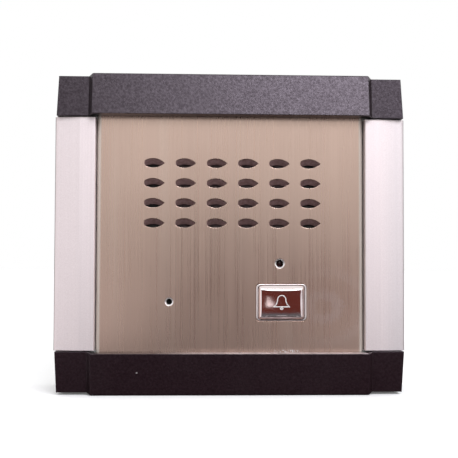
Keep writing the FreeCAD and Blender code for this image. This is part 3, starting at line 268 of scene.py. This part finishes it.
def cap_plastic():
    p = Paint("black_cap")
    grain = p.noise(1250, detail=4, rough=0.7)
    pits = p.cells(1500, p.at((1, 1, 1), (0.01, 0.02, 0.03)))
    cloud = p.noise(38, detail=4, rough=0.6)
    c = p.ramp(grain, (0.32, (0.0085, 0.0042, 0.0058)), (0.6, (0.0145, 0.0085, 0.0115)), (0.85, (0.048, 0.034, 0.042)))
    c = p.mix(p.ramp(cloud, (0.45, 0.0), (0.8, 0.22)), c, (0.040, 0.033, 0.035))
    # painted highlight: the cap's outer edges are lightened in patches, standing in for the glint along its filleted
    # edges
    c = p.mix(p.math("MULTIPLY", p.edge(0.54, 0.68), p.ramp(cloud, (0.42, 0.0), (0.7, 0.35))), c, (0.15, 0.14, 0.14))
    dust = p.ramp(p.cells(620, p.at((1, 1, 1), (0.2, 0.1, 0.4))), (0.03, 0.30), (0.07, 0.0))
    c = p.mix(dust, c, (0.17, 0.145, 0.15))
    speck = p.spot(-0.0366, 0.0090, 0.00034, 0.5)
    c = p.mix(speck, c, (0.80, 0.76, 0.75))
    # painted highlight: a pale line along the lower cap's ledge, where the plate's edge stands on it and light from
    # above catches it
    sx = p.t.nodes.new("ShaderNodeSeparateXYZ")
    p.put(sx.inputs[0], p.tc.outputs["Object"])
    ledge_highlight = p.math("MULTIPLY", p.math("GREATER_THAN", sx.outputs[2], 0.01633), p.math("LESS_THAN", sx.outputs[2], 0.0166))
    ledge_highlight = p.math("MULTIPLY", ledge_highlight, p.ramp(p.noise(1.0, p.at((240, 20, 1))), (0.30, 0.45), (0.60, 0.9)))
    ledge_highlight = p.math("MULTIPLY", ledge_highlight, p.math("LESS_THAN", p.math("ABSOLUTE", sx.outputs[0]), 0.0541))
    ledge_highlight = p.math("MULTIPLY", ledge_highlight, p.math("MULTIPLY_ADD", sx.outputs[0], 45.0, 1.35, clamp=True))
    c = p.mix(ledge_highlight, c, (0.78, 0.68, 0.68))
    # painted light and shade: the upper cap's corner blocks get less specular than its middle so they read darker, and
    # the lower cap is a browner, less specular shaded copy of the same plastic
    upper = p.math("GREATER_THAN", sx.outputs[2], 0.10)
    corner = p.math("ADD", p.math("MULTIPLY", p.math("GREATER_THAN", sx.outputs[0], 0.0562), 0.74),
                    p.math("MULTIPLY", p.math("LESS_THAN", sx.outputs[0], -0.0562), 0.30))
    c = p.mix(upper, p.mix(p.math("MULTIPLY", p.ramp(grain, (0.35, 0.25), (0.75, 0.65)), 1.0), c, (0.0245, 0.0085, 0.0115)), c)
    fleck = p.noise(1.0, p.at((1050, 1050, 1050), (0.4, 0.2, 0.7)), 2, 0.6)
    shine = p.math("MULTIPLY", p.ramp(fleck, (0.36, 0.56), (0.64, 1.0)), p.math("ADD", p.math("MULTIPLY", upper, p.math("SUBTRACT", 0.21, p.math("MULTIPLY", corner, 0.60))), 0.58))
    r = p.ramp(grain, (0.3, 0.30), (0.7, 0.42))
    n = p.bump(grain, 0.42, 0.00007, p.soft(0.00045))
    n = p.bump(pits, 0.30, 0.00005, n)
    p.set(color=c, rough=r, normal=n, spec=shine, spec_tint=(1.0, 0.87, 0.99))
    return p.m


def chrome(name="polished_chrome", tint=(0.80, 0.745, 0.745), rough=(0.045, 0.11)):
    p = Paint(name)
    haze = p.noise(260, detail=4, rough=0.6)
    hair = p.noise(1.0, p.at((700, 700, 5200), turn=(0, 0.5, 0)), 3, 0.7)
    c = p.mix(p.ramp(haze, (0.45, 0.0), (0.75, 0.22)), tint, tuple(v * 0.80 for v in tint))
    r = p.math("ADD", p.ramp(haze, (0.4, rough[0]), (0.75, rough[1])), p.math("MULTIPLY", hair, 0.02))
    n = p.bump(haze, 0.035, 0.00006)
    n = p.bump(hair, 0.02, 0.00002, n)
    p.set(color=c, metal=1.0, rough=r, normal=n)
    return p.m


def zinc(name="bright_zinc", a=(0.42, 0.43, 0.43), b=(0.66, 0.665, 0.65)):
    p = Paint(name)
    spangle = p.cells(240, p.at((1, 1, 1), (0.05, 0.03, 0.02)))
    fog = p.noise(120, detail=4, rough=0.6)
    fine = p.noise(2400, detail=3)
    c = p.mix(p.ramp(spangle, (0.1, 0.0), (0.7, 1.0)), a, b)
    c = p.mix(p.ramp(fog, (0.4, 0.0), (0.75, 0.4)), c, (0.60, 0.57, 0.47))
    c = p.mix(p.math("MULTIPLY", p.edge(0.53, 0.63), 0.5), c, (0.82, 0.82, 0.80))
    r = p.ramp(fog, (0.3, 0.26), (0.7, 0.46))
    n = p.bump(fine, 0.12, 0.00005, p.soft(0.00012))
    p.set(color=c, metal=1.0, rough=r, normal=n)
    return p.m


def plastic(name, dark, light, rough=(0.38, 0.56), size=1300, strength=0.35, spec=0.5, edge_tone=(0.3, 0.3, 0.3),
            sub=0.0):
    p = Paint(name)
    grain = p.noise(size, detail=4, rough=0.65)
    cloud = p.noise(70, detail=3, rough=0.55)
    flow = p.noise(1.0, p.at((90, 40, 260)), 2, 0.5, 0.6)
    c = p.mix(p.ramp(grain, (0.3, 0.0), (0.75, 1.0)), dark, light)
    c = p.mix(p.ramp(cloud, (0.4, 0.0), (0.8, 0.35)), c, dark)
    c = p.mix(p.ramp(flow, (0.55, 0.0), (0.8, 0.18)), c, light)
    c = p.mix(p.math("MULTIPLY", p.edge(0.53, 0.64), 0.35), c, edge_tone)
    r = p.ramp(cloud, (0.3, rough[0]), (0.7, rough[1]))
    n = p.bump(grain, strength, 0.00007, p.soft(0.00018))
    p.set(color=c, rough=r, normal=n, spec=spec)
    if sub:
        p.set(sub=sub)
    return p.m


def solder_board():
    p = Paint("green_board")
    weave = p.t.nodes.new("ShaderNodeTexChecker")
    p.put(weave.inputs["Vector"], p.at((1400, 1400, 1400)))
    weave.inputs["Scale"].default_value = 1.0
    weave.inputs["Color1"].default_value = (0.012, 0.105, 0.045, 1)
    weave.inputs["Color2"].default_value = (0.016, 0.125, 0.055, 1)
    cloud = p.noise(60, detail=3)
    # copper tracks under the lacquer: straight runs that wander in steps
    steps = p.t.nodes.new("ShaderNodeTexBrick")
    p.put(steps.inputs["Vector"], p.at((150, 150, 150), (0.3, 0, 0.2), (math.pi / 2, 0, 0)))
    steps.inputs["Scale"].default_value = 1.0
    steps.inputs["Mortar Size"].default_value = 0.045
    steps.inputs["Mortar Smooth"].default_value = 0.1
    steps.inputs["Brick Width"].default_value = 1.3
    steps.inputs["Row Height"].default_value = 0.38
    steps.inputs["Color1"].default_value = (0, 0, 0, 1)
    steps.inputs["Color2"].default_value = (0, 0, 0, 1)
    steps.inputs["Mortar"].default_value = (1, 1, 1, 1)
    track = p.math("MULTIPLY", steps.outputs["Color"], p.ramp(p.noise(95, detail=1), (0.46, 0.0), (0.5, 1.0)))
    c = p.mix(track, weave.outputs["Color"], (0.05, 0.26, 0.11))
    pads = p.ramp(p.cells(330, p.at((1, 0.01, 1), (0.013, 0, 0.02))), (0.10, 1.0), (0.13, 0.0))
    pads = p.math("MULTIPLY", pads, p.ramp(p.noise(110, p.at(shift=(0.4, 0, 0.2)), 1), (0.5, 0.0), (0.52, 1.0)))
    c = p.mix(pads, c, (0.62, 0.60, 0.56))
    c = p.mix(p.ramp(cloud, (0.4, 0.0), (0.8, 0.3)), c, (0.006, 0.06, 0.028))
    n = p.bump(track, 0.5, 0.00005, p.soft(0.00008))
    n = p.bump(pads, 0.7, 0.00015, n)
    p.set(color=c, rough=p.ramp(cloud, (0.3, 0.22), (0.7, 0.36)), metal=p.math("MULTIPLY", pads, 0.9),
          normal=n, coat=0.35, coat_rough=0.15)
    return p.m


def paper_cone():
    p = Paint("pressed_paper_cone")
    fibre = p.noise(1.0, p.at((900, 900, 900)), 6, 0.75, 1.2)
    lump = p.noise(300, detail=3)
    c = p.ramp(fibre, (0.3, (0.030, 0.029, 0.030)), (0.7, (0.075, 0.072, 0.070)))
    n = p.bump(fibre, 0.6, 0.00012)
    n = p.bump(lump, 0.25, 0.0002, n)
    p.set(color=c, rough=p.ramp(fibre, (0.3, 0.72), (0.7, 0.9)), normal=n, spec=0.3)
    return p.m


def woven(name, a, b, pitch, strength=0.8, rough=0.85):
    p = Paint(name)
    def thread(axis):
        w = p.t.nodes.new("ShaderNodeTexWave")
        w.wave_type = "BANDS"
        w.bands_direction = axis
        p.put(w.inputs["Vector"], p.at((1, 1, 1)))
        w.inputs["Scale"].default_value = pitch
        w.inputs["Distortion"].default_value = 0.4
        return w.outputs["Fac"]
    weft = p.math("MAXIMUM", thread("X"), thread("Z"))
    fuzz = p.noise(4200, detail=3, rough=0.7)
    c = p.mix(p.math("MULTIPLY", weft, p.ramp(fuzz, (0.2, 0.7), (0.8, 1.0))), a, b)
    p.set(color=c, rough=rough, normal=p.bump(weft, strength, 0.00015), sheen=0.2)
    return p.m


def rubber(name="black_rubber"):
    p = Paint(name)
    bloom = p.noise(160, detail=4, rough=0.6)
    fine = p.noise(2600, detail=3)
    c = p.ramp(bloom, (0.35, (0.012, 0.012, 0.013)), (0.75, (0.045, 0.044, 0.043)))
    n = p.bump(fine, 0.3, 0.00006, p.soft(0.0002))
    p.set(color=c, rough=p.ramp(bloom, (0.3, 0.62), (0.7, 0.82)), normal=n, spec=0.35)
    return p.m


def lead_rubber():
    p = Paint("lead_insulation")
    x = p.t.nodes.new("ShaderNodeSeparateXYZ")
    p.put(x.inputs[0], p.tc.outputs["Object"])
    left = p.math("LESS_THAN", x.outputs[0], 0.0006)
    speck = p.noise(900, detail=3)
    c = p.mix(left, (0.035, 0.033, 0.034), (0.50, 0.022, 0.018))
    c = p.mix(p.ramp(speck, (0.5, 0.0), (0.8, 0.3)), c, (0.2, 0.12, 0.11))
    p.set(color=c, rough=p.ramp(speck, (0.3, 0.34), (0.7, 0.5)), normal=p.bump(speck, 0.12, 0.00005))
    return p.m


def sleeve():
    p = Paint("capacitor_sleeve")
    sx = p.t.nodes.new("ShaderNodeSeparateXYZ")
    p.put(sx.inputs[0], p.tc.outputs["Object"])
    y = p.math("GREATER_THAN", sx.outputs[1], 0.01085)      # the bare can's end
    wrinkle = p.noise(1.0, p.at((500, 90, 500)), 3, 0.6)
    stripe = p.t.nodes.new("ShaderNodeTexWave")
    stripe.bands_direction = "X"
    p.put(stripe.inputs["Vector"], p.at((1, 1, 1), (0.0025, 0, 0)))
    stripe.inputs["Scale"].default_value = 28.5
    band = p.ramp(stripe.outputs["Fac"], (0.90, 0.0), (0.93, 0.8))
    c = p.mix(band, p.ramp(wrinkle, (0.3, (0.010, 0.017, 0.060)), (0.7, (0.022, 0.034, 0.11))), (0.45, 0.52, 0.62))
    vent = p.math("MULTIPLY", p.ramp(p.cells(150, p.at((1, 0.01, 1), (0.001, 0, 0.0))), (0.02, 0.35), (0.05, 1.0)), 1.0)
    tin = p.mix(vent, (0.25, 0.25, 0.26), (0.66, 0.66, 0.67))
    c = p.mix(y, c, tin)
    p.set(color=c, metal=p.math("MULTIPLY", y, 0.95), rough=p.ramp(wrinkle, (0.3, 0.22), (0.7, 0.36)),
          normal=p.bump(wrinkle, 0.2, 0.0001, p.soft(0.0003)), coat=0.3)
    return p.m


def banded_resistor():
    p = Paint("resistor_lacquer")
    w = p.t.nodes.new("ShaderNodeTexWave")
    w.bands_direction = "X"
    p.put(w.inputs["Vector"], p.at((1, 1, 1), (0.0002, 0, 0)))
    w.inputs["Scale"].default_value = 190
    band = p.ramp(w.outputs["Fac"], (0.72, 0.0), (0.78, 1.0))
    tone = p.noise(230, p.at((1, 0.01, 0.6)), 1)
    paint = p.ramp(tone, (0.40, (0.30, 0.02, 0.015)), (0.47, (0.05, 0.025, 0.012)), (0.53, (0.50, 0.17, 0.01)),
                   (0.60, (0.03, 0.03, 0.03)))
    body = p.ramp(p.noise(700, detail=3), (0.3, (0.50, 0.38, 0.23)), (0.7, (0.64, 0.52, 0.34)))
    c = p.mix(p.math("MULTIPLY", band, 0.95), body, paint)
    p.set(color=c, rough=p.ramp(tone, (0.3, 0.30), (0.7, 0.45)), normal=p.bump(p.noise(700), 0.2, 0.0001, p.soft(0.0006)),
          coat=0.25)
    return p.m


def ferrite():
    p = Paint("ferrite_magnet")
    g = p.noise(1500, detail=5, rough=0.7)
    chips = p.ramp(p.cells(420), (0.03, 0.3), (0.12, 1.0))
    c = p.ramp(g, (0.3, (0.030, 0.029, 0.031)), (0.7, (0.075, 0.073, 0.076)))
    c = p.mix(0.5, c, chips, "MULTIPLY")
    p.set(color=c, metal=0.25, rough=p.ramp(g, (0.3, 0.5), (0.7, 0.7)), normal=p.bump(g, 0.4, 0.0001, p.soft(0.0003)))
    return p.m


def lens():
    p = Paint("lamp_lens")
    core = p.spot(0.0198, 0.0517, 0.0013, 0.8)
    swirl = p.noise(500, detail=2)
    c = p.mix(core, (0.020, 0.004, 0.004), (0.010, 0.003, 0.003))
    c = p.mix(p.ramp(swirl, (0.4, 0.0), (0.8, 0.3)), c, (0.03, 0.005, 0.005))
    p.set(color=c, rough=p.ramp(swirl, (0.3, 0.10), (0.7, 0.2)), ior=1.49, spec=0.12,
          normal=p.bump(swirl, 0.05, 0.0001))
    return p.m


def capsule():
    """A small metal can with a dark felt face."""
    p = Paint("microphone_can")
    sx = p.t.nodes.new("ShaderNodeSeparateXYZ")
    p.put(sx.inputs[0], p.tc.outputs["Object"])
    face = p.math("LESS_THAN", sx.outputs[1], 0.020 - 29.3 * MM)
    fuzz = p.noise(3600, detail=4, rough=0.75)
    swirl = p.noise(300, detail=3)
    c = p.mix(face, p.ramp(swirl, (0.3, (0.40, 0.40, 0.41)), (0.7, (0.60, 0.60, 0.60))),
              p.ramp(fuzz, (0.3, (0.008, 0.007, 0.007)), (0.7, (0.03, 0.026, 0.026))))
    p.set(color=c, metal=p.math("SUBTRACT", 1.0, face), rough=p.ramp(fuzz, (0.2, 0.34), (0.8, 0.75)),
          normal=p.bump(fuzz, 0.4, 0.0001), spec=0.2)
    return p.m


def wound_copper():
    p = Paint("wound_copper")
    w = p.t.nodes.new("ShaderNodeTexWave")
    w.bands_direction = "Y"
    p.put(w.inputs["Vector"], p.at((1, 1, 1)))
    w.inputs["Scale"].default_value = 1600
    tone = p.noise(900, detail=3)
    c = p.mix(p.ramp(tone, (0.3, 0.0), (0.7, 1.0)), (0.50, 0.20, 0.07), (0.78, 0.40, 0.19))
    p.set(color=c, metal=0.9, rough=p.ramp(tone, (0.3, 0.25), (0.7, 0.4)), normal=p.bump(w.outputs["Fac"], 0.6, 0.0001))
    return p.m


def enamel():
    p = Paint("pale_enamel")
    g = p.noise(900, detail=3)
    c = p.ramp(g, (0.3, (0.74, 0.70, 0.69)), (0.7, (0.92, 0.89, 0.88)))
    p.set(color=c, rough=p.ramp(g, (0.3, 0.25), (0.7, 0.4)), normal=p.bump(g, 0.15, 0.00004), coat=0.3)
    return p.m


BRIGHT = zinc()
STEEL = zinc("tinned_steel", (0.30, 0.30, 0.31), (0.52, 0.52, 0.52))
BLACK = plastic("black_moulding", (0.014, 0.014, 0.015), (0.036, 0.035, 0.036), edge_tone=(0.12, 0.12, 0.12))
WHITE = plastic("natural_nylon", (0.55, 0.53, 0.47), (0.78, 0.76, 0.70), (0.34, 0.5), 900, 0.2, sub=0.05)
BOX = plastic("box_moulding", (0.020, 0.020, 0.022), (0.050, 0.049, 0.052), (0.48, 0.66), 900, 0.6,
              edge_tone=(0.13, 0.13, 0.135))
PAINTS = {
    "faceplate": plate_steel(), "rail_left": rail_metal(), "top_cap": cap_plastic(),
    "button_bezel": chrome("satin_surround", (0.86, 0.79, 0.78), (0.30, 0.40)), "bridge_top": BRIGHT, "rail_screws": BRIGHT, "speaker_basket": STEEL,
    "speaker_top_plate": BRIGHT, "speaker_magnet": ferrite(), "speaker_cone": paper_cone(),
    "speaker_surround": rubber("treated_edge"), "speaker_spider": woven("resin_cloth", (0.30, 0.19, 0.07), (0.60, 0.42, 0.18), 900),
    "dust_gauze": woven("grey_gauze", (0.090, 0.070, 0.072), (0.26, 0.21, 0.215), 800),
    "speaker_voice_coil": wound_copper(), "speaker_leads": lead_rubber(), "circuit_board": solder_board(),
    "terminal_block": plastic("green_moulding", (0.030, 0.165, 0.075), (0.055, 0.25, 0.115), (0.3, 0.45)),
    "capacitors": sleeve(), "resistors": banded_resistor(), "box_seal": rubber(), "led_lamp": lens(),
    "trimmer_bodies": plastic("blue_housing", (0.020, 0.06, 0.26), (0.035, 0.10, 0.38), (0.28, 0.42), 1100, 0.15),
    "speaker_terminals": plastic("brown_laminate", (0.20, 0.10, 0.035), (0.36, 0.20, 0.08), (0.35, 0.5), 700, 0.3),
    "back_box": BOX, "mic_capsule": capsule(),
}
SAME = {
    "rail_left": ["rail_right"], "top_cap": ["bottom_cap"],
    "bridge_top": ["bridge_bottom"],
    "rail_screws": ["plate_screws", "fixing_screws", "hinge_rod", "plate_studs", "speaker_box_nuts", "board_nuts",
                    "speaker_clip_screws", "terminal_screws", "button_spring", "speaker_yoke"],
    "speaker_basket": ["speaker_clips"],
    "speaker_cone": ["speaker_dust_cap"],
    "box_seal": ["cable_grommet", "mic_boot"],
}
for node, others in SAME.items():
    for o in others:
        PAINTS[o] = PAINTS[node]
for o in ("button_guide", "button_retainer", "switch_body", "led_holder", "speaker_box", "amplifier_chip"):
    PAINTS[o] = BLACK
for o in ("board_spacers", "speaker_connector", "switch_plunger", "speaker_trimmer_rotor",
          "microphone_trimmer_rotor"):
    PAINTS[o] = WHITE
PAINTS["call_button"] = chrome("polished_chrome", (0.84, 0.745, 0.735), (0.035, 0.08))
for name, o in nodes.items():
    o.data.materials.clear()
    o.data.materials.append(PAINTS[name])


# ---------------------------------------------------------------- call button
def centre(node):
    lo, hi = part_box(node)
    return (lo + hi) / 2, (hi - lo) / 2


def add(name, verts, faces, material, smooth=True):
    me = bpy.data.meshes.new(name)
    me.from_pydata([tuple(v) for v in verts], [], faces)
    me.update()
    o = bpy.data.objects.new(name, me)
    scene.collection.objects.link(o)
    me.materials.append(material)
    for poly in me.polygons:
        poly.use_smooth = smooth
    return o


lo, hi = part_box("call_button")
bx, bz = (lo.x + hi.x) / 2, (lo.z + hi.z) / 2
HALF_W, HALF_H = 9.1 * MM, 6.7 * MM
FRONT = lo.y                 # the face's plane
ROLL = 1.5 * MM


def face_drop(x, z):
    """How far the pressed face lies behind its highest plane at (x, z)."""
    u, v = abs(x) / HALF_W, abs(z) / HALF_H
    # flat sloping border whose inner line bows in along each side
    bow_x = (0.15 if x < 0 else 0.55) * MM * (1 - v * v)
    bow_z = 0.75 * MM * (1 - u * u)
    ex = (HALF_W - abs(x))
    ez = (HALF_H - abs(z))
    wx = ROLL * (0.50 if x < 0 else 0.62) + bow_x
    wz = ROLL * (0.92 if z > 0 else 0.60) + bow_z * (0.75 if z > 0 else 0.5)
    tx, tz = max(0.0, 1 - ex / wx), max(0.0, 1 - ez / wz)
    # the two slopes meet in a soft mitre
    s = (tx ** 3 + tz ** 3) ** (1 / 3)
    slope = 1.05 * MM * min(1.0, s) ** 1.25
    crown = 0.10 * MM * (min(u, 1) ** 2 + min(v, 1) ** 2)
    return slope + crown


def button_mesh():
    nx, nz = 100, 76
    verts, faces = [], []
    rad = 1.1 * MM           # plan radius of the corners

    def shape(i, j):
        x = (2 * i / nx - 1) * HALF_W
        z = (2 * j / nz - 1) * HALF_H
        ax, az = abs(x), abs(z)
        cx, cz = HALF_W - rad, HALF_H - rad
        if ax > cx and az > cz:
            dx, dz = ax - cx, az - cz
            m = max(dx, dz)
            d = math.hypot(dx, dz)
            if d > 0:
                k = m / d
                ax, az = cx + dx * k, cz + dz * k
        return math.copysign(ax, x), math.copysign(az, z)

    for j in range(nz + 1):
        for i in range(nx + 1):
            x, z = shape(i, j)
            verts.append((bx + x, FRONT + face_drop(x, z), bz + z))
    w = nx + 1
    for j in range(nz):
        for i in range(nx):
            a = j * w + i
            faces.append((a, a + 1, a + 1 + w, a + w))
    rim = [i for i in range(w)] + [j * w + nx for j in range(1, nz + 1)] \
        + [nz * w + i for i in range(nx - 1, -1, -1)] + [j * w for j in range(nz - 1, 0, -1)]
    # skirt, flange, back and stem as rings that follow the rim
    def ring(scale_x, scale_z, y):
        start = len(verts)
        for k in rim:
            x, _, z = verts[k]
            verts.append((bx + (x - bx) * scale_x, y, bz + (z - bz) * scale_z))
        return list(range(start, start + len(rim)))

    def join(a, b):
        n = len(a)
        for k in range(n):
            faces.append((a[k], b[k], b[(k + 1) % n], a[(k + 1) % n]))

    fx, fz = (HALF_W + 1.2 * MM) / HALF_W, (HALF_H + 1.1 * MM) / HALF_H
    fold = 0.12 * MM
    y_flange, y_back = 0.020 - 29.2 * MM, 0.020 - 28.2 * MM
    r1 = ring(1, 1, FRONT + 1.30 * MM)
    r2 = ring(1, 1, y_flange - fold)
    r3 = ring(1, 1, y_flange)
    r4 = ring(fx, fz, y_flange)
    r5 = ring(fx, fz, y_back)
    join(rim, r1), join(r1, r2), join(r2, r3), join(r3, r4), join(r4, r5)
    stem = []
    for y in (y_back, 0.020 - 26.8 * MM):
        start = len(verts)
        for k in rim:
            x, _, z = verts[k]
            a = math.atan2((z - bz), (x - bx))
            verts.append((bx + 2.0 * MM * math.cos(a), y, bz + 2.0 * MM * math.sin(a)))
        stem.append(list(range(start, start + len(rim))))
    join(r5, stem[0]), join(stem[0], stem[1])
    faces.append(tuple(stem[1]))
    o = add("call_button_face", verts, faces, PAINTS["call_button"])
    bm = bmesh.new()
    bm.from_mesh(o.data)
    bmesh.ops.recalc_face_normals(bm, faces=bm.faces)
    for e in bm.edges:
        e.smooth = e.calc_face_angle(0) < math.radians(50)
    bm.to_mesh(o.data)
    bm.free()
    return o


key = button_mesh()
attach(key, "call_button")
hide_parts("call_button")


def coil_mesh():
    """The button's round-wire spring, closed at both ends, between the guide and the flange."""
    a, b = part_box("button_spring")
    mid, wire = (a + b) / 2, 0.24 * MM
    rad = (b.x - a.x) / 2 - 0.26 * MM
    tall = b.y - a.y
    dead, shut = 0.9, 0.49 * MM
    live = (tall - 2 * wire - 2 * dead * shut) / (1.15 * MM)
    steps, sides = 44, 10
    verts, faces = [], []
    count = int((live + 2 * dead) * steps)
    for k in range(count + 1):
        u = (live + 2 * dead) * k / count
        y = a.y + wire + shut * (min(u, dead) + max(u - dead - live, 0)) + 1.15 * MM * min(max(u - dead, 0), live)
        t = 2 * math.pi * u
        for j in range(sides):
            w = 2 * math.pi * j / sides
            r = rad + wire * math.cos(w)
            verts.append((mid.x + r * math.cos(t), y + wire * math.sin(w), mid.z + r * math.sin(t)))
    for k in range(count):
        for j in range(sides):
            j2 = (j + 1) % sides
            faces.append((sides * k + j, sides * k + j2, sides * (k + 1) + j2, sides * (k + 1) + j))
    faces.append(tuple(range(sides)))
    faces.append(tuple(range(sides * count, sides * count + sides)))
    o = add("button_coil", verts, faces, PAINTS["button_spring"])
    bm = bmesh.new()
    bm.from_mesh(o.data)
    bmesh.ops.recalc_face_normals(bm, faces=bm.faces)
    bm.to_mesh(o.data)
    bm.free()
    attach(o, "front")
    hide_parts("button_spring")
    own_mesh(o)
    return o


coil_mesh()


def ribbon(name, line, width, closed=False, height=0.09 * MM, material=None):
    """A raised line on the button's face, along points given in mm from its middle."""
    pts = [Vector((a * 1.22 * MM, 0, (b * 1.22 + 0.2) * MM)) for a, b in line]
    n = len(pts)
    verts, faces = [], []
    for k, p in enumerate(pts):
        if closed:
            a, b = pts[k - 1], pts[(k + 1) % n]
        else:
            a, b = pts[max(k - 1, 0)], pts[min(k + 1, n - 1)]
        d = (b - a).normalized()
        side = Vector((-d.z, 0, d.x))
        for s, t in ((-1.0, 0.0), (-0.8, 1.0), (0.8, 1.0), (1.0, 0.0)):
            q = p + side * (s * width * MM / 2)
            verts.append((bx + q.x, FRONT + face_drop(q.x, q.z) + 0.04 * MM - t * height, bz + q.z))
    rows = n if closed else n - 1
    for k in range(rows):
        a, b = 4 * k, 4 * ((k + 1) % n)
        for c in range(3):
            faces.append((a + c, a + c + 1, b + c + 1, b + c))
    if not closed:
        faces += [(0, 3, 2, 1), (4 * (n - 1), 4 * (n - 1) + 1, 4 * (n - 1) + 2, 4 * (n - 1) + 3)]
    o = add(name, verts, faces, material)
    bm = bmesh.new()
    bm.from_mesh(o.data)
    bmesh.ops.recalc_face_normals(bm, faces=bm.faces)
    bm.to_mesh(o.data)
    bm.free()
    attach(o, "call_button")
    return o


# a plain bell: closed dome with a flared rim, its base line and clapper
ENAMEL = enamel()
dome = []
for k in range(25):
    a = math.pi * k / 24
    dome.append((1.35 * math.cos(a), 0.7 + 1.45 * math.sin(a)))
bell = [(2.35, -1.25), (1.95, -0.95), (1.62, -0.45), (1.45, 0.1)] + dome \
    + [(-1.45, 0.1), (-1.62, -0.45), (-1.95, -0.95), (-2.35, -1.25)]
ribbon("bell_outline", bell, 0.42, False, material=ENAMEL)
ribbon("bell_base", [(-2.7 + 0.36 * k, -1.55) for k in range(16)], 0.42, False, material=ENAMEL)
ribbon("bell_clapper", [(0.42 * math.cos(a), -2.15 + 0.25 * math.sin(a)) for a in
                        [math.pi * 2 * k / 16 for k in range(16)]], 0.40, True, material=ENAMEL)

# --------------------------------------------------------------------- stage
def floor_paint():
    p = Paint("pale_floor")
    g = p.noise(9, detail=4, rough=0.6)
    c = p.ramp(g, (0.3, (0.90, 0.90, 0.90)), (0.7, (0.93, 0.93, 0.93)))
    p.set(color=c, rough=p.ramp(g, (0.3, 0.7), (0.7, 0.8)), emit=(1.0, 1.0, 1.0), power=0.12, spec=0.2)
    return p.m


size = 6.0
floor = add("floor", [(-size, -size, -0.0001), (size, -size, -0.0001), (size, size, -0.0001), (-size, size, -0.0001)],
            [(0, 1, 2, 3)], floor_paint(), False)
floor.visible_glossy = False
floor.visible_diffuse = False


def card(name, corners, shade, diffuse=True):
    """A studio flag that the camera doesn't see."""
    p = Paint(name)
    g = p.noise(3, detail=2)
    c = p.ramp(g, (0.3, tuple(v * 0.85 for v in shade)), (0.7, shade))
    p.set(color=(0.0, 0.0, 0.0), rough=0.9, emit=c, power=1.0, spec=0.0)
    o = add(name, corners, [tuple(range(len(corners)))], p.m, False)
    o.visible_camera = False
    o.visible_shadow = False
    o.visible_diffuse = diffuse
    return o


def upright(x0, x1, z0, z1, y):
    return [(x0, y, z0), (x1, y, z0), (x1, y, z1), (x0, y, z1)]


def flat(x0, x1, y0, y1, z):
    return [(x0, y0, z), (x1, y0, z), (x1, y1, z), (x0, y1, z)]


card("table_flag", flat(-0.09, 3, -3, -0.17, -0.002), (1.0, 0.96, 0.99))
card("left_table", flat(-3, -0.09, -3, -0.17, -0.002), (1.42, 1.33, 1.35))
card("side_flag", flat(0.13, 3, -0.17, 3, -0.002), (0.38, 0.34, 0.35))
card("left_flag", flat(-3, -0.088, -0.17, 3, -0.002), (1.1, 1.01, 1.02))
card("near_flag", flat(-0.088, 0.13, -0.17, 3, -0.002), (0.045, 0.036, 0.038))
card("mid_table", flat(-0.056, 0.085, -0.80, -0.26, -0.0015), (0.13, 0.128, 0.138))
card("dim_table", flat(-0.042, 0.010, -0.80, -0.22, -0.0012), (0.014, 0.013, 0.017))
card("warm_table", flat(0.010, 0.190, -0.80, -0.37, -0.001), (0.140, 0.034, 0.026))
card("wide_flag", upright(-0.09, 1.6, -0.01, 0.060, -0.82), (0.82, 0.79, 0.84))
card("mid_flag", upright(-0.085, 0.190, -0.01, 0.098, -0.81), (0.028, 0.029, 0.038))
card("dim_flag", upright(-0.048, 0.010, -0.01, 0.128, -0.79), (0.008, 0.008, 0.014))
card("warm_flag", upright(0.018, 0.190, -0.01, 0.060, -0.80), (0.140, 0.034, 0.026))
card("glint", [(0.0335, -0.36, 0.0350), (0.0315, -0.36, 0.0120), (0.0450, -0.36, 0.0145)], (1.10, 0.95, 0.95))

world = bpy.data.worlds.new("studio")
scene.world = world
world.use_nodes = True
wt = world.node_tree
wt.nodes.clear()
wo = wt.nodes.new("ShaderNodeOutputWorld")
wb = wt.nodes.new("ShaderNodeBackground")
wt.links.new(wb.outputs[0], wo.inputs[0])
wb.inputs[0].default_value = (1.0, 1.0, 1.0, 1)
wb.inputs[1].default_value = 1.0


def lamp(name, at, look, size_x, size_y, power, color=(1, 1, 1)):
    d = bpy.data.lights.new(name, "AREA")
    d.shape = "RECTANGLE"
    d.size, d.size_y = size_x, size_y
    d.energy = power
    d.color = color
    o = bpy.data.objects.new(name, d)
    scene.collection.objects.link(o)
    o.location = at
    o.rotation_euler = (Vector(look) - Vector(at)).to_track_quat("-Z", "Y").to_euler()
    o.visible_camera = False
    return o


lamp("key", (0.29, -0.82, 0.72), (0, 0, 0.07), 0.6, 0.5, 7.0, (0.97, 0.97, 1.04))

# -------------------------------------------------------------------- camera
cam = bpy.data.cameras.new("photo_view")
cam.sensor_width = 36.0
cam.sensor_fit = "HORIZONTAL"
cam.lens = 36.0 * 902.9 / 458.0
cam.clip_start = 0.01
eye = bpy.data.objects.new("photo_view", cam)
scene.collection.objects.link(eye)
yaw, pitch, roll = 0.039122, 0.037949, 0.003191
fwd = Vector((math.sin(yaw) * math.cos(pitch), math.cos(yaw) * math.cos(pitch), math.sin(pitch)))
right = Vector((math.cos(yaw), -math.sin(yaw), 0))
upv = right.cross(fwd)
r2 = right * math.cos(roll) + upv * math.sin(roll)
u2 = -right * math.sin(roll) + upv * math.cos(roll)
m = Matrix((r2, u2, -fwd)).transposed().to_4x4()
m.translation = Vector((-0.014668, -0.373423, 0.051745))
eye.matrix_world = m
scene.camera = eye

scene.view_settings.view_transform = "Standard"
scene.view_settings.look = "None"

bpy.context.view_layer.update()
